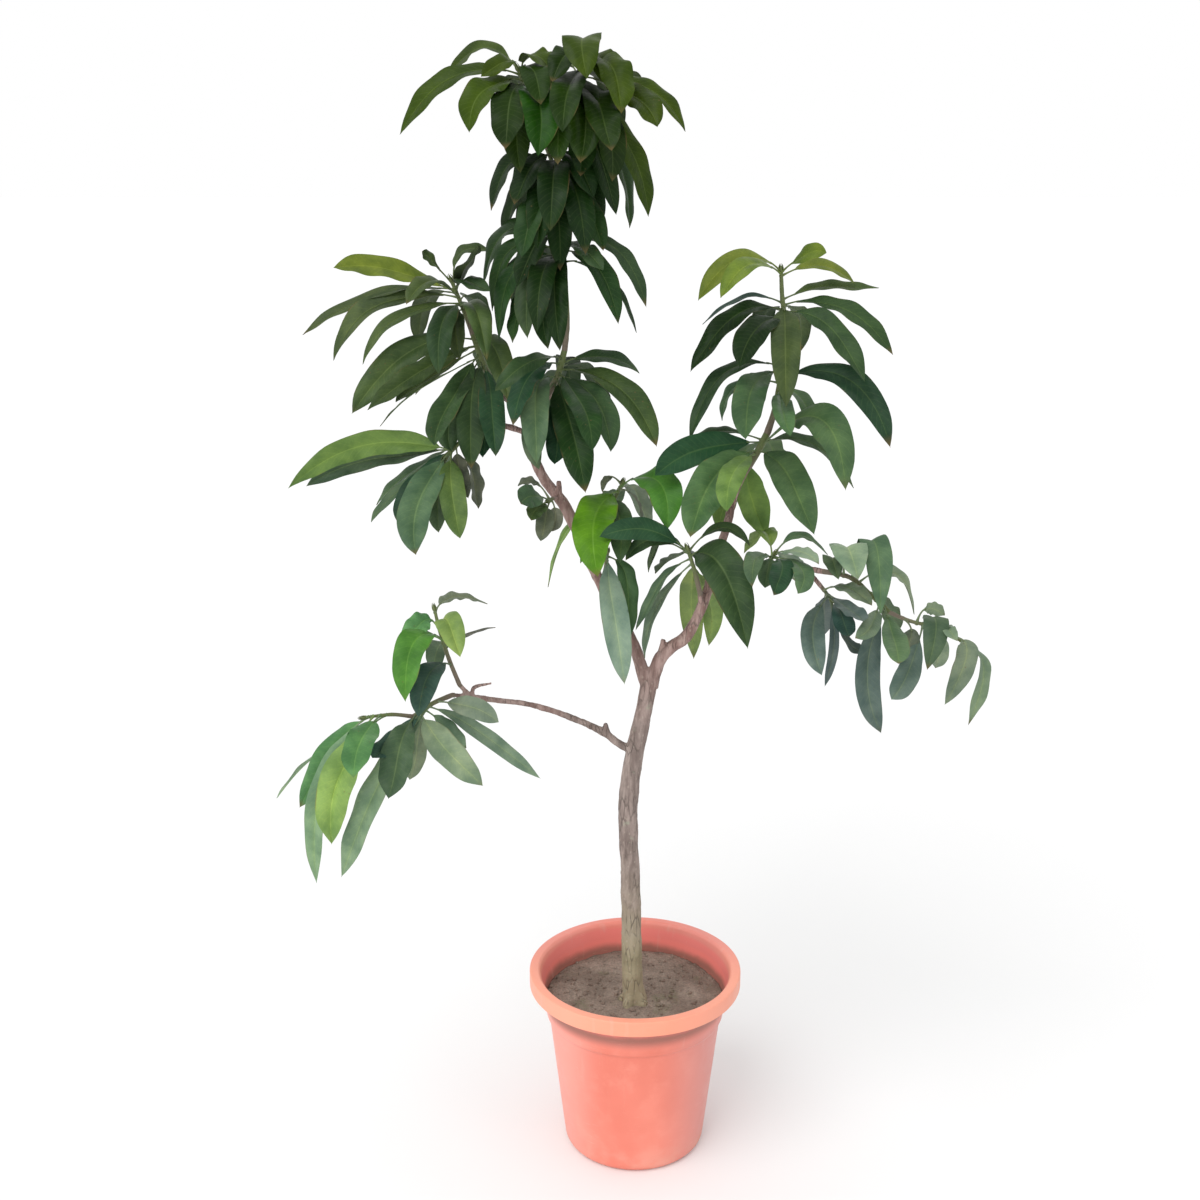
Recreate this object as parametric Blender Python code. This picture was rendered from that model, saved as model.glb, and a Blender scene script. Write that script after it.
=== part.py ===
"""Potted mango tree: a turned plastic pot, its soil, the woody frame and the leafy shoots. Metres, +Z up.

The pot's base is centred on the origin. Places on the tree are given as (x, z, y) in centimetres: x and z are
read on the upright sheet y = 0 as it is seen from EYE, and y says how far behind that sheet the point is, before
the lean of its branch away from the viewer or towards them is added.
"""
import math

import bpy
from mathutils import Vector

CM = 0.01
MM = 0.001
GAP = 0.3 * MM
EYE = Vector((-0.05, -2.0, 1.40))
TO_VIEWER = Vector((0, -1, 0))

# Pot: outer radii and heights
POT_HEIGHT = 0.270
RIM_RADIUS = 0.150
RIM_INNER_RADIUS = 0.138
RIM_DROP = 0.022
RIM_WALL = 0.0028
RIM_ROUND = 0.002
COLLAR_TOP_RADIUS = 0.133
COLLAR_BOTTOM_RADIUS = 0.126
COLLAR_BOTTOM = 0.200
BODY_TOP_RADIUS = 0.122
BODY_LOW_RADIUS = 0.103
BODY_LOW = 0.030
BASE_RADIUS = 0.100
FOOT_ROUND = 0.006
FLOOR_CORNER = 0.004
STEP_HEIGHT = 0.006
POT_WALL = 0.0028
FLOOR_TOP = 0.007
RECESS_DEPTH = 0.004
RECESS_RADII = (0.030, 0.083)
PAD_RADIUS = 0.028
ROUND_STEPS = 36
DRAIN_HOLES = 8
DRAIN_HOLE_RADIUS = 0.005
DRAIN_RING_RADIUS = 0.058
HOLE_SIDES = 10

# Soil
SOIL_TOP = 0.229
SOIL_RINGS = (0.030, 0.058, 0.086, 0.110)
SOIL_SWELL = 0.0025
SOIL_WAVES = (31, 37, 23)
MOUND_SPREAD = 0.0018
SOIL_CLEARANCE = 0.0005
ROOT_SPOT = (-0.004, -0.027)
BURIED_RINGS = 6

# Tubes and leaves
PATH_STEPS = 2
TRUNK_SIDES = 10
TWIG_SIDES = 6
PETIOLE = 0.017
PETIOLE_RADIUS = 0.0016
BUD_LENGTH = 0.008
LEAF_THICKNESS = 0.0024
LEAF_FOLD = 0.10
BLADE = ((0.18, 0.72), (0.45, 1.0), (0.74, 0.88), (0.91, 0.48))
MID_DEPTH = 0.62
LINE_STEP = 0.01
SHARP_ANGLE = math.radians(40)

# How the branches lean: (x, z) of the middle of a region and its reach in cm, and the depth in cm it adds there
LEANS = (
    (-42, 60, 26, -14),
    (-34, 116, 22, 13),
    (38, 76, 24, -14),
    (24, 117, 20, 10),
)

# Red, green, blue and roughness of each piece
COLOURS = {
    "pot": (0.72, 0.24, 0.15, 0.45),
    "soil": (0.13, 0.10, 0.075, 0.95),
    "trunk_and_limbs": (0.23, 0.18, 0.14, 0.85),
    "fourth_whorl": (0.024, 0.062, 0.036, 0.45),
    "third_whorl": (0.020, 0.050, 0.022, 0.45),
    "second_whorl": (0.020, 0.050, 0.024, 0.45),
    "top_whorl": (0.045, 0.085, 0.015, 0.45),
    "top_left_whorl": (0.042, 0.095, 0.014, 0.45),
    "left_lower_whorl": (0.032, 0.072, 0.026, 0.45),
    "left_upper_whorl": (0.062, 0.115, 0.024, 0.45),
    "left_hanging_whorl": (0.055, 0.120, 0.042, 0.45),
    "limb_sprig": (0.042, 0.080, 0.028, 0.50),
    "centre_whorl": (0.120, 0.300, 0.015, 0.40),
    "centre_low_whorl": (0.105, 0.185, 0.125, 0.35),
    "inner_whorl": (0.034, 0.085, 0.050, 0.45),
    "right_lower_whorl": (0.042, 0.098, 0.036, 0.45),
    "right_middle_whorl": (0.024, 0.058, 0.032, 0.45),
    "right_top_whorl": (0.046, 0.088, 0.026, 0.45),
    "right_low_first_whorl": (0.042, 0.088, 0.052, 0.50),
    "right_low_under_whorl": (0.060, 0.112, 0.076, 0.50),
    "right_low_whorl": (0.065, 0.105, 0.062, 0.50),
    "right_low_end_whorl": (0.070, 0.122, 0.072, 0.50),
    "low_upper_whorl": (0.050, 0.145, 0.036, 0.45),
    "low_middle_whorl": (0.070, 0.128, 0.075, 0.50),
    "low_end_whorl": (0.090, 0.190, 0.066, 0.45),
}

# Woody frame: (x, z, y) in cm and the radius in mm. Each tube starts inside the one that carries it.
WOOD = {
    "trunk": [
        (-0.1, 15.6, -2.6, 13), (0.1, 20.6, -2.5, 18), (-0.3, 24, -2.2, 15), (-0.5, 30, -1.8, 14),
        (-0.7, 40, -1.2, 13.2), (-1.1, 50, -0.6, 13.2), (-0.8, 56, -0.3, 13.4), (-0.1, 60.5, 0, 12.4),
        (0.9, 65.5, 0.3, 11), (1.7, 70.4, 0.5, 11.5)],
    "left_limb": [
        (1.5, 69, 0.5, 9.5), (0.3, 73, 0.8, 8.5), (-0.8, 76, 1.2, 7.5), (-2.1, 78.6, 1.5, 7),
        (-4.1, 82, 2, 7), (-6.1, 86.5, 2.2, 7.2), (-8.2, 91.4, 2.2, 7.4), (-9.9, 94.8, 2, 8.2),
        (-12.2, 97.8, 2, 7), (-13.5, 100.9, 2.2, 6.4), (-13.6, 104.4, 2.5, 5.8)],
    "left_leader": [(-13.3, 103.6, 2.5, 5), (-12.6, 106.6, 2.2, 4.6), (-11.5, 109.2, 1.9, 4.4)],
    "left_branch": [(-13.3, 103.6, 2.5, 5), (-15.2, 106.6, 2.9, 4.6), (-17.6, 109, 3.2, 4.4)],
    "left_twig": [(-13.4, 103.2, 2.4, 4.2), (-15.6, 104.4, 0.8, 3.8), (-18, 105, -0.8, 3.6)],
    "broken_stub": [(-10.2, 95.4, 1.9, 4), (-10.4, 97.6, 1, 3)],
    "sprig_twig": [(-10.4, 95.4, 2, 3), (-11.2, 95.3, -0.6, 2.6)],
    "centre_twig": [(-5.6, 86, 2.2, 3.6), (-5.4, 88, 3.4, 3.2), (-4.8, 90, 4.2, 3)],
    "centre_low_twig": [(-4.6, 84, 2.1, 3.2), (-4.3, 85.6, 0.4, 2.8)],
    "right_limb": [
        (1.9, 69.4, 0.5, 10), (2.9, 73, 0.2, 9.2), (4.5, 74.9, 0, 8.4), (6.5, 76.4, 0.2, 7.8),
        (8, 79.2, 0.8, 7), (9.4, 83.2, 1.6, 6.6), (10.4, 87.2, 2.2, 6.4), (11.7, 91.8, 2.6, 5.8),
        (12.6, 96.2, 2.6, 5.4), (14, 99.2, 2.4, 5)],
    "right_stub": [(3, 73.8, 0.1, 4.2), (3.5, 76, 0, 3.2)],
    "inner_twig": [(8.5, 80.6, 1, 3.8), (8.3, 82.4, -0.4, 3.4)],
    "right_low_branch": [
        (10.2, 86.4, 2.1, 5), (13, 86.2, 1.2, 4.4), (16.5, 85.9, 0.4, 4.2), (20, 86.1, -0.4, 3.8),
        (22.6, 85.8, -0.9, 3.6), (24.8, 85.4, -1.4, 3.2)],
    "right_low_twig": [(16.9, 85.9, 0.3, 3), (17.2, 86.7, -1.8, 2.8)],
    "right_under_twig": [(22.4, 85.8, -0.9, 3), (23.4, 84.5, -0.6, 2.8), (24.4, 83.3, -0.4, 2.6)],
    "low_branch": [
        (-0.5, 60, 0, 6), (-2.6, 61.2, -0.2, 5.4), (-4.6, 62.8, -0.4, 5.3), (-9.5, 65.1, -0.8, 4.2),
        (-14.3, 66.7, -1.2, 3.9), (-19.5, 67.4, -1.6, 3.8), (-23, 67.8, -2, 4)],
    "low_stub": [(-3.9, 62.6, -0.3, 4), (-4.3, 64, -0.4, 3)],
    "low_upper_twig": [(-22.6, 67.9, -2, 3.4), (-24, 69.6, -2, 3)],
    "low_bare_twig": [(-22.2, 67.8, -1.9, 2.6), (-22, 69.2, -2.2, 2.4), (-19.6, 69.8, -2.8, 1.8)],
    "low_lower_twig": [(-22.4, 67.9, -1.9, 3.4), (-25, 68.1, -2.2, 3.2)],
}

# Leafy shoots: what each grows from, its stem as (x, z, y) in cm beyond that point, the radius at its end in mm,
# and its leaves as (share along the stem, middle x, z, tip x, z, y in cm, width in cm, turn to the viewer).
SHOOTS = {
    "fourth_whorl": ("left_leader", [(-10.4, 111.4, 1.6), (-9.5, 114.6, 1.2)], 4.0, [
        (0.70, -4.8, 114.0, 0.0, 111.7, 1, 2.8, 0.4),
        (0.60, -2.6, 110.0, 2.3, 102.3, -4, 3.6, 0.5),
        (0.50, -5.0, 108.2, -3.6, 101.6, -8, 3.6, 0.4),
        (0.55, -7.5, 108.0, -6.0, 101.7, -12, 3.6, 0.3),
        (0.45, -8.9, 105.4, -6.9, 96.2, -5, 4.6, 0.5),
        (0.35, -10.6, 104.8, -10.9, 99.9, -4, 3.0, 0.4),
        (0.45, -13.6, 109.0, -13.2, 100.0, -8, 3.8, 0.5),
        (0.80, -13.6, 113.4, -18.4, 109.4, -11, 2.8, 0.5),
        (0.70, -13.8, 111.6, -16.2, 105.0, -8, 3.4, 0.4),
        (0.65, -6.5, 112.0, -4.0, 107.0, 14, 3.4, 0.0),
        (0.55, -11.0, 111.0, -13.0, 105.0, 14, 3.4, 0.0),
        (0.75, -9.0, 113.0, -9.0, 106.0, 16, 3.4, 0.0),
        (0.35, -13.3, 105.6, -12.9, 99.2, -6, 2.8, 0.4)]),
    "third_whorl": ("fourth_whorl", [(-9.2, 118, 1.0), (-9.4, 123, 0.9), (-9.7, 128.8, 0.8)], 3.6, [
        (0.92, -3.2, 127.2, 0.8, 120.1, -2, 2.4, 0.5),
        (0.88, -5.4, 124.9, -2.7, 118.0, -6, 3.0, 0.5),
        (0.80, -4.3, 124.0, -0.4, 116.9, 4, 1.8, 0.4),
        (0.92, -16.3, 129.6, -19.6, 123.0, 3, 3.6, 0.5),
        (0.84, -15.9, 124.5, -17.8, 116.0, -4, 3.6, 0.5),
        (0.88, -13.2, 123.6, -14.2, 116.2, -10, 3.6, 0.3),
        (0.80, -11.6, 122.0, -11.6, 114.8, -8, 3.2, 0.3),
        (0.86, -16.4, 127.0, -18.6, 119.6, -1, 3.0, 0.6),
        (0.84, -12.4, 124.4, -13.0, 116.9, -14, 3.4, 0.3),
        (0.90, -10.8, 123.4, -10.1, 114.6, -12, 3.2, 0.3),
        (0.78, -14.4, 121.6, -16.1, 115.6, -4, 3.2, 0.4),
        (0.90, -13.0, 126.0, -16.0, 120.0, 14, 3.4, 0.0),
        (0.86, -11.0, 126.0, -11.4, 120.0, 14, 3.2, 0.0),
        (0.95, -7.2, 127.6, -4.6, 124.6, -9, 2.6, 0.4),
        (0.95, -13.2, 128.4, -15.4, 122.6, -8, 3.6, 0.4)]),
    "second_whorl": ("third_whorl", [(-10.2, 133, 0.9), (-10.3, 138.6, 1.0)], 3.4, [
        (0.84, -16.2, 137.8, -18.5, 131.9, -1, 3.2, 0.5),
        (0.70, -15.2, 134.6, -17.0, 128.6, 6, 3.3, 0.3),
        (0.80, -12.6, 134.4, -12.8, 127.2, -9, 3.4, 0.3),
        (0.84, -8.0, 134.4, -6.8, 126.6, -9, 4.0, 0.3),
        (0.72, -6.4, 135.0, -5.0, 129.8, -3, 2.6, 0.6),
        (0.62, -10.2, 131.6, -10.0, 124.6, -6, 3.4, 0.3),
        (0.90, -10.8, 136.6, -11.2, 129.4, -12, 3.8, 0.3),
        (0.66, -13.4, 132.2, -14.8, 126.2, -11, 3.4, 0.4),
        (0.76, -6.4, 132.4, -4.6, 127.0, -6, 2.8, 0.4),
        (0.80, -13.0, 135.5, -15.4, 129.0, 13, 3.4, 0.0),
        (0.84, -8.0, 136.0, -6.4, 130.0, 13, 3.4, 0.0),
        (0.96, -13.6, 137.6, -15.6, 132.6, -7, 3.6, 0.4),
        (0.96, -8.0, 138.4, -5.8, 133.4, -6, 3.8, 0.4)]),
    "top_whorl": ("second_whorl", [(-9.4, 143.5, 1.0), (-6.8, 149.0, 1.0)], 2.4, [
        (1.00, -6.6, 152.4, -6.6, 147.4, -11, 4.6, 0.3),
        (0.97, -3.9, 149.2, -2.4, 143.4, -9, 4.2, 0.3),
        (0.85, -9.6, 149.4, -11.2, 146.0, 9, 3.4, 0.2),
        (0.70, -3.8, 142.4, -3.5, 135.4, -10, 3.8, 0.3),
        (0.92, 0.5, 146.8, 5.4, 141.3, -1, 3.0, 0.4),
        (0.86, -1.2, 145.8, 2.0, 141.8, -8, 3.7, 0.5),
        (0.80, -1.8, 139.8, 1.0, 131.2, -3, 3.6, 0.5),
        (0.74, -5.2, 139.4, -3.0, 131.4, -6, 3.0, 0.4),
        (0.88, -6.8, 144.4, -7.4, 137.6, -11, 4.2, 0.3),
        (0.66, -9.8, 144.0, -10.2, 137.4, -10, 3.8, 0.3),
        (0.90, -4.6, 148.0, -2.0, 142.0, 13, 3.6, 0.0),
        (0.94, -1.6, 148.2, 2.4, 143.2, 9, 3.2, 0.2),
        (0.80, -9.0, 147.0, -10.0, 141.0, 14, 3.4, 0.0),
        (1.00, -8.8, 150.6, -10.8, 147.0, -7, 3.4, 0.5),
        (0.98, -5.0, 150.2, -3.8, 146.4, -5, 3.4, 0.5),
        (0.76, -2.5, 138.4, -1.3, 129.8, 3, 3.2, 0.5),
        (0.92, -8.8, 147.0, -9.6, 141.2, -12, 4.0, 0.3),
        (0.80, -4.6, 144.6, -3.6, 139.0, -12, 4.0, 0.4),
        (0.60, -7.6, 141.4, -7.4, 136.0, -7, 3.6, 0.3)]),
    "top_left_whorl": ("second_side_stem", [(-12.6, 142.6, 0.2), (-14.8, 148.2, 0)], 2.2, [
        (0.96, -22.9, 147.8, -29.4, 141.0, -3, 3.4, 0.5),
        (1.00, -19.2, 151.2, -23.4, 148.0, 7, 2.8, 0.5),
        (0.90, -18.6, 146.4, -21.0, 141.2, -9, 3.9, 0.6),
        (0.86, -16.0, 145.2, -16.6, 139.2, -10, 4.2, 0.3),
        (0.94, -13.4, 150.4, -10.4, 147.6, -5, 3.4, 0.3),
        (0.75, -14.8, 143.0, -14.8, 136.4, -7, 3.6, 0.3),
        (0.80, -12.9, 145.4, -12.6, 138.4, -11, 4.6, 0.3),
        (0.90, -15.5, 147.0, -18.0, 141.4, 12, 3.4, 0.0),
        (0.70, -12.0, 146.0, -13.0, 140.0, 13, 3.2, 0.0),
        (0.98, -13.2, 148.8, -12.2, 144.4, -8, 3.4, 0.5),
        (1.00, -16.4, 149.6, -19.4, 147.6, -4, 2.6, 0.5)]),
    "left_lower_whorl": ("left_branch", [(-19.6, 112.2, 3.4), (-21.2, 116.8, 3.6)], 3.6, [
        (0.90, -29.6, 114.3, -36.8, 106.6, -4, 4.3, 0.7),
        (0.80, -28.2, 112.2, -34.8, 107.0, -9, 3.2, 0.6),
        (0.70, -24.5, 107.7, -26.4, 102.4, -11, 3.6, 0.3),
        (0.60, -21.8, 107.6, -21.7, 99.4, -9, 3.8, 0.5),
        (0.55, -18.7, 108.2, -18.5, 101.0, -8, 3.6, 0.4),
        (0.85, -18.7, 115.2, -16.8, 108.2, -3, 3.6, 0.5),
        (0.65, -27.6, 110.1, -33.3, 104.9, 8, 1.4, 0.1),
        (0.80, -25.0, 113.4, -28.6, 109.0, 14, 3.4, 0.0),
        (0.70, -19.4, 113.6, -18.0, 108.0, 15, 3.4, 0.0),
        (0.75, -27.2, 111.0, -31.2, 108.0, -1, 2.2, 0.5),
        (0.65, -23.6, 107.0, -24.2, 101.6, -4, 3.2, 0.5),
        (0.60, -20.2, 106.4, -20.2, 100.8, -2, 2.8, 0.5)]),
    "left_upper_whorl": ("left_lower_whorl", [(-22.2, 119.6, 3.4), (-23.6, 123.2, 3.0)], 2.4, [
        (0.80, -31.4, 124.6, -38.3, 124.9, -3, 3.6, 0.6),
        (0.85, -34.0, 121.4, -42.6, 116.6, 4, 2.4, 0.4),
        (0.70, -32.6, 120.6, -38.9, 113.4, 0, 3.8, 0.5),
        (0.60, -30.4, 119.0, -35.2, 112.9, -4, 2.6, 0.4),
        (0.90, -22.4, 126.8, -18.6, 126.9, 8, 2.0, 0.4),
        (0.80, -21.8, 125.2, -20.2, 127.6, -6, 2.6, 0.5),
        (0.70, -26.4, 123.4, -29.4, 120.4, -9, 2.8, 0.4),
        (0.55, -24.6, 118.8, -25.6, 111.6, -7, 3.4, 0.4),
        (0.95, -25.8, 125.4, -27.2, 126.9, 2, 1.8, 0.5),
        (0.50, -21.0, 120.2, -19.4, 113.4, -7, 3.0, 0.4),
        (0.75, -26.6, 121.0, -28.0, 115.4, 14, 3.4, 0.0),
        (0.65, -20.6, 121.0, -19.0, 115.0, 14, 3.2, 0.0),
        (0.85, -21.6, 123.6, -18.8, 122.0, -6, 2.6, 0.4),
        (0.50, -23.2, 118.4, -22.9, 113.4, -2, 2.6, 0.5)]),
    "left_hanging_whorl": ("left_twig", [(-21.4, 104.2, -1.8), (-24.8, 101.0, -2.8)], 2.4, [
        (0.90, -34.6, 102.3, -45.5, 96.8, -4, 3.5, 0.8),
        (0.95, -28.2, 95.6, -29.3, 87.8, -9, 4.6, 0.5),
        (0.80, -30.0, 98.9, -34.2, 94.5, 4, 2.4, 0.4),
        (0.85, -30.8, 96.8, -35.0, 92.2, 0, 1.8, 0.4),
        (0.75, -28.8, 97.4, -31.6, 92.3, -3, 3.7, 0.5),
        (0.90, -24.4, 96.2, -23.4, 90.0, -7, 3.4, 0.5),
        (0.70, -21.5, 98.6, -20.9, 94.0, 3, 3.2, 0.5),
        (0.85, -26.0, 98.4, -27.6, 93.0, 10, 3.2, 0.0),
        (0.88, -34.4, 100.6, -43.2, 97.0, 1, 3.0, 0.7),
        (0.92, -26.2, 96.6, -26.2, 90.8, -3, 3.0, 0.4),
        (0.80, -23.2, 99.6, -22.2, 95.4, -3, 2.4, 0.4)]),
    "limb_sprig": ("sprig_twig", [(-11.8, 95.0, -2.6)], 1.8, [
        (0.60, -13.6, 97.6, -15.7, 97.0, -5, 1.6, 0.4),
        (0.80, -13.5, 95.6, -15.3, 94.6, -9, 3.2, 0.8),
        (0.50, -12.2, 92.8, -12.8, 89.6, -5, 2.4, 0.6),
        (0.70, -12.8, 94.2, -14.0, 92.4, -7, 2.2, 0.6),
        (0.40, -10.9, 93.6, -11.3, 90.9, -3, 2.0, 0.6)]),
    "centre_whorl": ("centre_twig", [(-3.8, 93.6, 4.4), (-2.2, 97.2, 3.4)], 2.2, [
        (0.85, -5.7, 93.0, -5.3, 84.8, -8, 5.4, 0.4),
        (0.95, 2.0, 97.9, 3.8, 91.2, -3, 5.0, 0.5),
        (1.00, -3.8, 98.2, -4.7, 96.2, 1, 1.2, 0.3),
        (0.90, -0.3, 95.4, 0.5, 92.2, 8, 1.2, 0.3),
        (0.70, -2.8, 93.0, -2.4, 86.6, -6, 3.4, 0.7),
        (0.75, -8.8, 92.0, -11.9, 83.4, 6, 2.5, 0.2),
        (0.80, -3.0, 96.0, -4.0, 91.0, 15, 3.2, 0.0),
        (0.90, 0.0, 96.4, 1.6, 91.6, 15, 3.2, 0.0)]),
    "centre_low_whorl": ("centre_low_twig", [(-4.0, 88.0, -1.2)], 2.0, [
        (0.90, -3.3, 80.6, -1.7, 69.8, -6, 3.5, 0.7),
        (0.80, -1.2, 84.2, -1.1, 76.0, -2, 2.8, 0.6),
        (0.60, -5.8, 88.4, -7.6, 86.6, -2, 1.2, 0.5)]),
    "inner_whorl": ("inner_twig", [(7.5, 85.6, -1.6), (6.6, 88.4, -2.6)], 2.2, [
        (0.90, 1.2, 91.4, -5.0, 90.2, -7, 3.0, 0.8),
        (0.80, 10.7, 86.5, 14.8, 74.9, -8, 5.4, 0.8),
        (0.60, 7.3, 82.6, 7.6, 73.4, 9, 3.4, 0.0),
        (0.50, 9.2, 82.1, 9.6, 75.2, 12, 3.2, 0.0),
        (0.75, 2.7, 83.8, -0.2, 77.4, -4, 1.8, 0.3),
        (0.65, 2.4, 80.6, 1.0, 73.4, -2, 2.0, 0.4),
        (0.95, 10.9, 91.5, 14.7, 89.0, -1, 1.9, 0.4),
        (0.90, 4.3, 87.6, 2.3, 85.2, 8, 3.0, 0.4),
        (0.85, 3.2, 89.8, 1.4, 85.4, 6, 1.8, 0.3),
        (0.80, 8.6, 87.2, 11.0, 82.0, 9, 3.2, 0.0),
        (0.88, 1.8, 89.8, -1.6, 87.0, -4, 2.0, 0.6)]),
    "right_lower_whorl": ("right_limb", [(15.2, 101.2, 2.2), (16.6, 104.0, 1.8)], 4.6, [
        (0.60, 22.8, 106.0, 27.0, 96.6, -7, 5.2, 0.6),
        (0.70, 22.3, 103.0, 28.0, 96.8, 3, 2.4, 0.4),
        (0.55, 19.9, 98.9, 23.1, 90.6, -4, 4.8, 0.7),
        (0.80, 10.4, 104.2, 6.6, 102.6, 8, 2.5, 0.3),
        (0.75, 8.4, 101.9, 2.2, 98.4, -3, 4.2, 0.8),
        (0.60, 9.4, 98.0, 6.9, 90.2, -8, 5.0, 0.6),
        (0.50, 12.6, 99.0, 11.6, 93.6, -10, 3.4, 0.4),
        (0.40, 14.3, 96.2, 16.9, 90.2, 7, 4.5, 0.8),
        (0.35, 11.6, 96.6, 10.4, 91.4, 6, 3.2, 0.7),
        (0.85, 17.6, 101.8, 19.6, 97.0, 15, 3.4, 0.0),
        (0.75, 13.4, 101.6, 11.6, 98.0, 15, 3.4, 0.0)]),
    "right_middle_whorl": ("right_lower_whorl", [(17.7, 108, 1.4), (18.3, 113.4, 1.2)], 4.0, [
        (0.75, 26.2, 110.9, 32.5, 102.2, -3, 3.8, 0.7),
        (0.85, 14.0, 109.8, 13.8, 103.2, -10, 4.2, 0.5),
        (0.90, 10.6, 111.9, 6.6, 103.0, 0, 2.5, 0.4),
        (0.70, 12.4, 110.2, 10.7, 105.6, 7, 2.2, 0.4),
        (0.65, 21.0, 108.6, 22.6, 104.0, 12, 3.0, 0.0),
        (0.80, 15.4, 111.4, 13.8, 106.8, 15, 3.4, 0.0),
        (0.60, 18.6, 107.6, 19.6, 103.6, -12, 2.8, 0.3)]),
    "right_top_whorl": ("right_middle_whorl", [
        (18.4, 117.5, 1.1), (17.9, 121.6, 1.2), (17.7, 124.4, 1.2)], 2.4, [
        (1.00, 12.7, 126.0, 7.4, 120.9, 0, 3.2, 0.5),
        (0.96, 13.4, 125.4, 10.2, 121.2, -7, 3.0, 0.5),
        (0.98, 20.5, 126.3, 23.3, 126.7, -3, 2.2, 0.7),
        (0.92, 23.1, 125.3, 27.0, 122.9, 4, 2.4, 0.5),
        (0.57, 12.9, 121.2, 8.0, 117.9, 5, 1.5, 0.3),
        (0.50, 11.9, 118.9, 6.6, 112.0, -2, 3.2, 0.5),
        (0.43, 15.0, 117.4, 12.8, 112.5, -8, 4.0, 0.5),
        (0.53, 18.6, 116.4, 18.9, 107.4, -10, 3.9, 0.3),
        (0.61, 23.8, 122.7, 30.0, 122.4, 5, 2.3, 0.4),
        (0.55, 25.8, 120.2, 32.2, 114.1, 0, 3.0, 0.5),
        (0.48, 24.2, 117.7, 28.8, 110.7, -6, 3.4, 0.6),
        (0.47, 15.6, 119.4, 14.4, 115.0, 14, 3.4, 0.0),
        (0.53, 20.5, 119.2, 20.6, 114.6, 14, 2.8, 0.0)]),
    "right_low_first_whorl": ("right_low_twig", [(18.0, 87.8, -3.2)], 2.2, [
        (0.80, 21.3, 90.4, 25.0, 87.8, 1, 1.8, 0.3),
        (0.90, 20.8, 88.3, 23.9, 86.5, -9, 2.0, 0.5),
        (0.60, 19.4, 85.8, 18.1, 82.2, -13, 2.8, 0.5),
        (0.70, 21.8, 85.8, 21.3, 82.4, -12, 2.6, 0.5),
        (0.50, 15.7, 87.6, 15.2, 83.4, -13, 2.6, 0.4),
        (0.65, 16.4, 91.0, 14.0, 88.0, 7, 3.2, 0.3),
        (0.85, 19.6, 87.6, 20.8, 84.2, 8, 3.0, 0.0),
        (0.55, 17.4, 86.4, 16.9, 83.2, -8, 2.4, 0.5)]),
    "right_low_under_whorl": ("right_under_twig", [(25.6, 81.8, -0.6)], 2.0, [
        (0.80, 23.4, 77.2, 24.9, 71.0, -9, 3.1, 0.6),
        (0.90, 26.4, 75.6, 25.4, 69.4, -2, 1.3, 0.4),
        (0.60, 28.2, 80.4, 30.2, 78.6, -11, 2.4, 0.6),
        (1.00, 28.6, 75.3, 31.0, 75.2, 0, 1.7, 0.4),
        (0.50, 24.6, 79.8, 24.2, 76.0, 9, 2.4, 0.3),
        (0.90, 27.4, 79.4, 28.4, 76.4, -7, 2.6, 0.6),
        (0.30, 27.6, 83.3, 31.2, 80.8, -6, 2.3, 0.4)]),
    "right_low_whorl": ("right_low_branch", [
        (28.2, 84.6, -1.8), (31.0, 82.2, -2.2), (33.6, 79.8, -2.6)], 2.6, [
        (0.25, 27.6, 89.1, 29.2, 84.4, -10, 4.4, 0.4),
        (0.35, 30.9, 90.0, 32.4, 79.6, -8, 3.7, 0.3),
        (0.45, 34.1, 85.5, 36.9, 79.6, 2, 2.4, 0.4),
        (0.92, 31.3, 71.8, 33.3, 62.7, -7, 3.1, 0.7),
        (0.80, 31.2, 78.4, 29.2, 76.2, -11, 2.2, 0.6),
        (0.88, 34.4, 76.4, 35.2, 72.6, -13, 3.0, 0.5),
        (0.60, 33.0, 81.0, 34.6, 77.0, 8, 3.0, 0.0),
        (0.15, 25.8, 87.6, 26.6, 84.4, -6, 2.6, 0.4)]),
    "right_low_end_whorl": ("right_low_whorl", [
        (36.4, 78.6, -2.9), (40.0, 77.6, -3.0), (43.4, 75.8, -3.2)], 1.8, [
        (0.50, 36.7, 72.1, 34.5, 67.5, -9, 3.0, 0.9),
        (0.55, 39.6, 78.7, 39.1, 71.8, -11, 3.1, 0.3),
        (0.70, 41.4, 77.9, 42.9, 75.8, -11, 1.7, 0.5),
        (0.90, 44.3, 73.8, 41.8, 66.8, -9, 2.7, 0.8),
        (1.00, 46.8, 71.7, 45.2, 63.9, -2, 2.5, 0.7),
        (0.65, 40.1, 75.4, 40.2, 72.0, 5, 2.6, 0.0),
        (0.42, 38.6, 80.4, 41.0, 79.4, -5, 1.9, 0.5),
        (0.25, 36.7, 77.0, 35.9, 74.6, -5, 2.2, 0.5)]),
    "low_upper_whorl": ("low_upper_twig", [
        (-25.3, 73.2, -2), (-26.4, 77.0, -2.2), (-27.0, 80.0, -2.4)], 2.0, [
        (0.57, -29.5, 75.9, -31.4, 67.3, -10, 4.0, 0.5),
        (0.63, -25.6, 79.0, -23.8, 73.6, -9, 3.4, 0.6),
        (0.27, -27.9, 71.4, -29.7, 65.0, -9, 3.3, 0.6),
        (0.98, -24.4, 82.0, -20.0, 81.0, 3, 2.2, 0.3),
        (0.53, -22.4, 76.8, -19.0, 77.7, 6, 0.9, 0.2),
        (0.57, -29.4, 76.6, -32.4, 74.4, 6, 1.2, 0.3),
        (0.50, -26.4, 75.4, -27.4, 70.6, 10, 3.0, 0.0),
        (0.67, -28.6, 79.0, -31.5, 75.4, -4, 3.2, 0.5)]),
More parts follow.
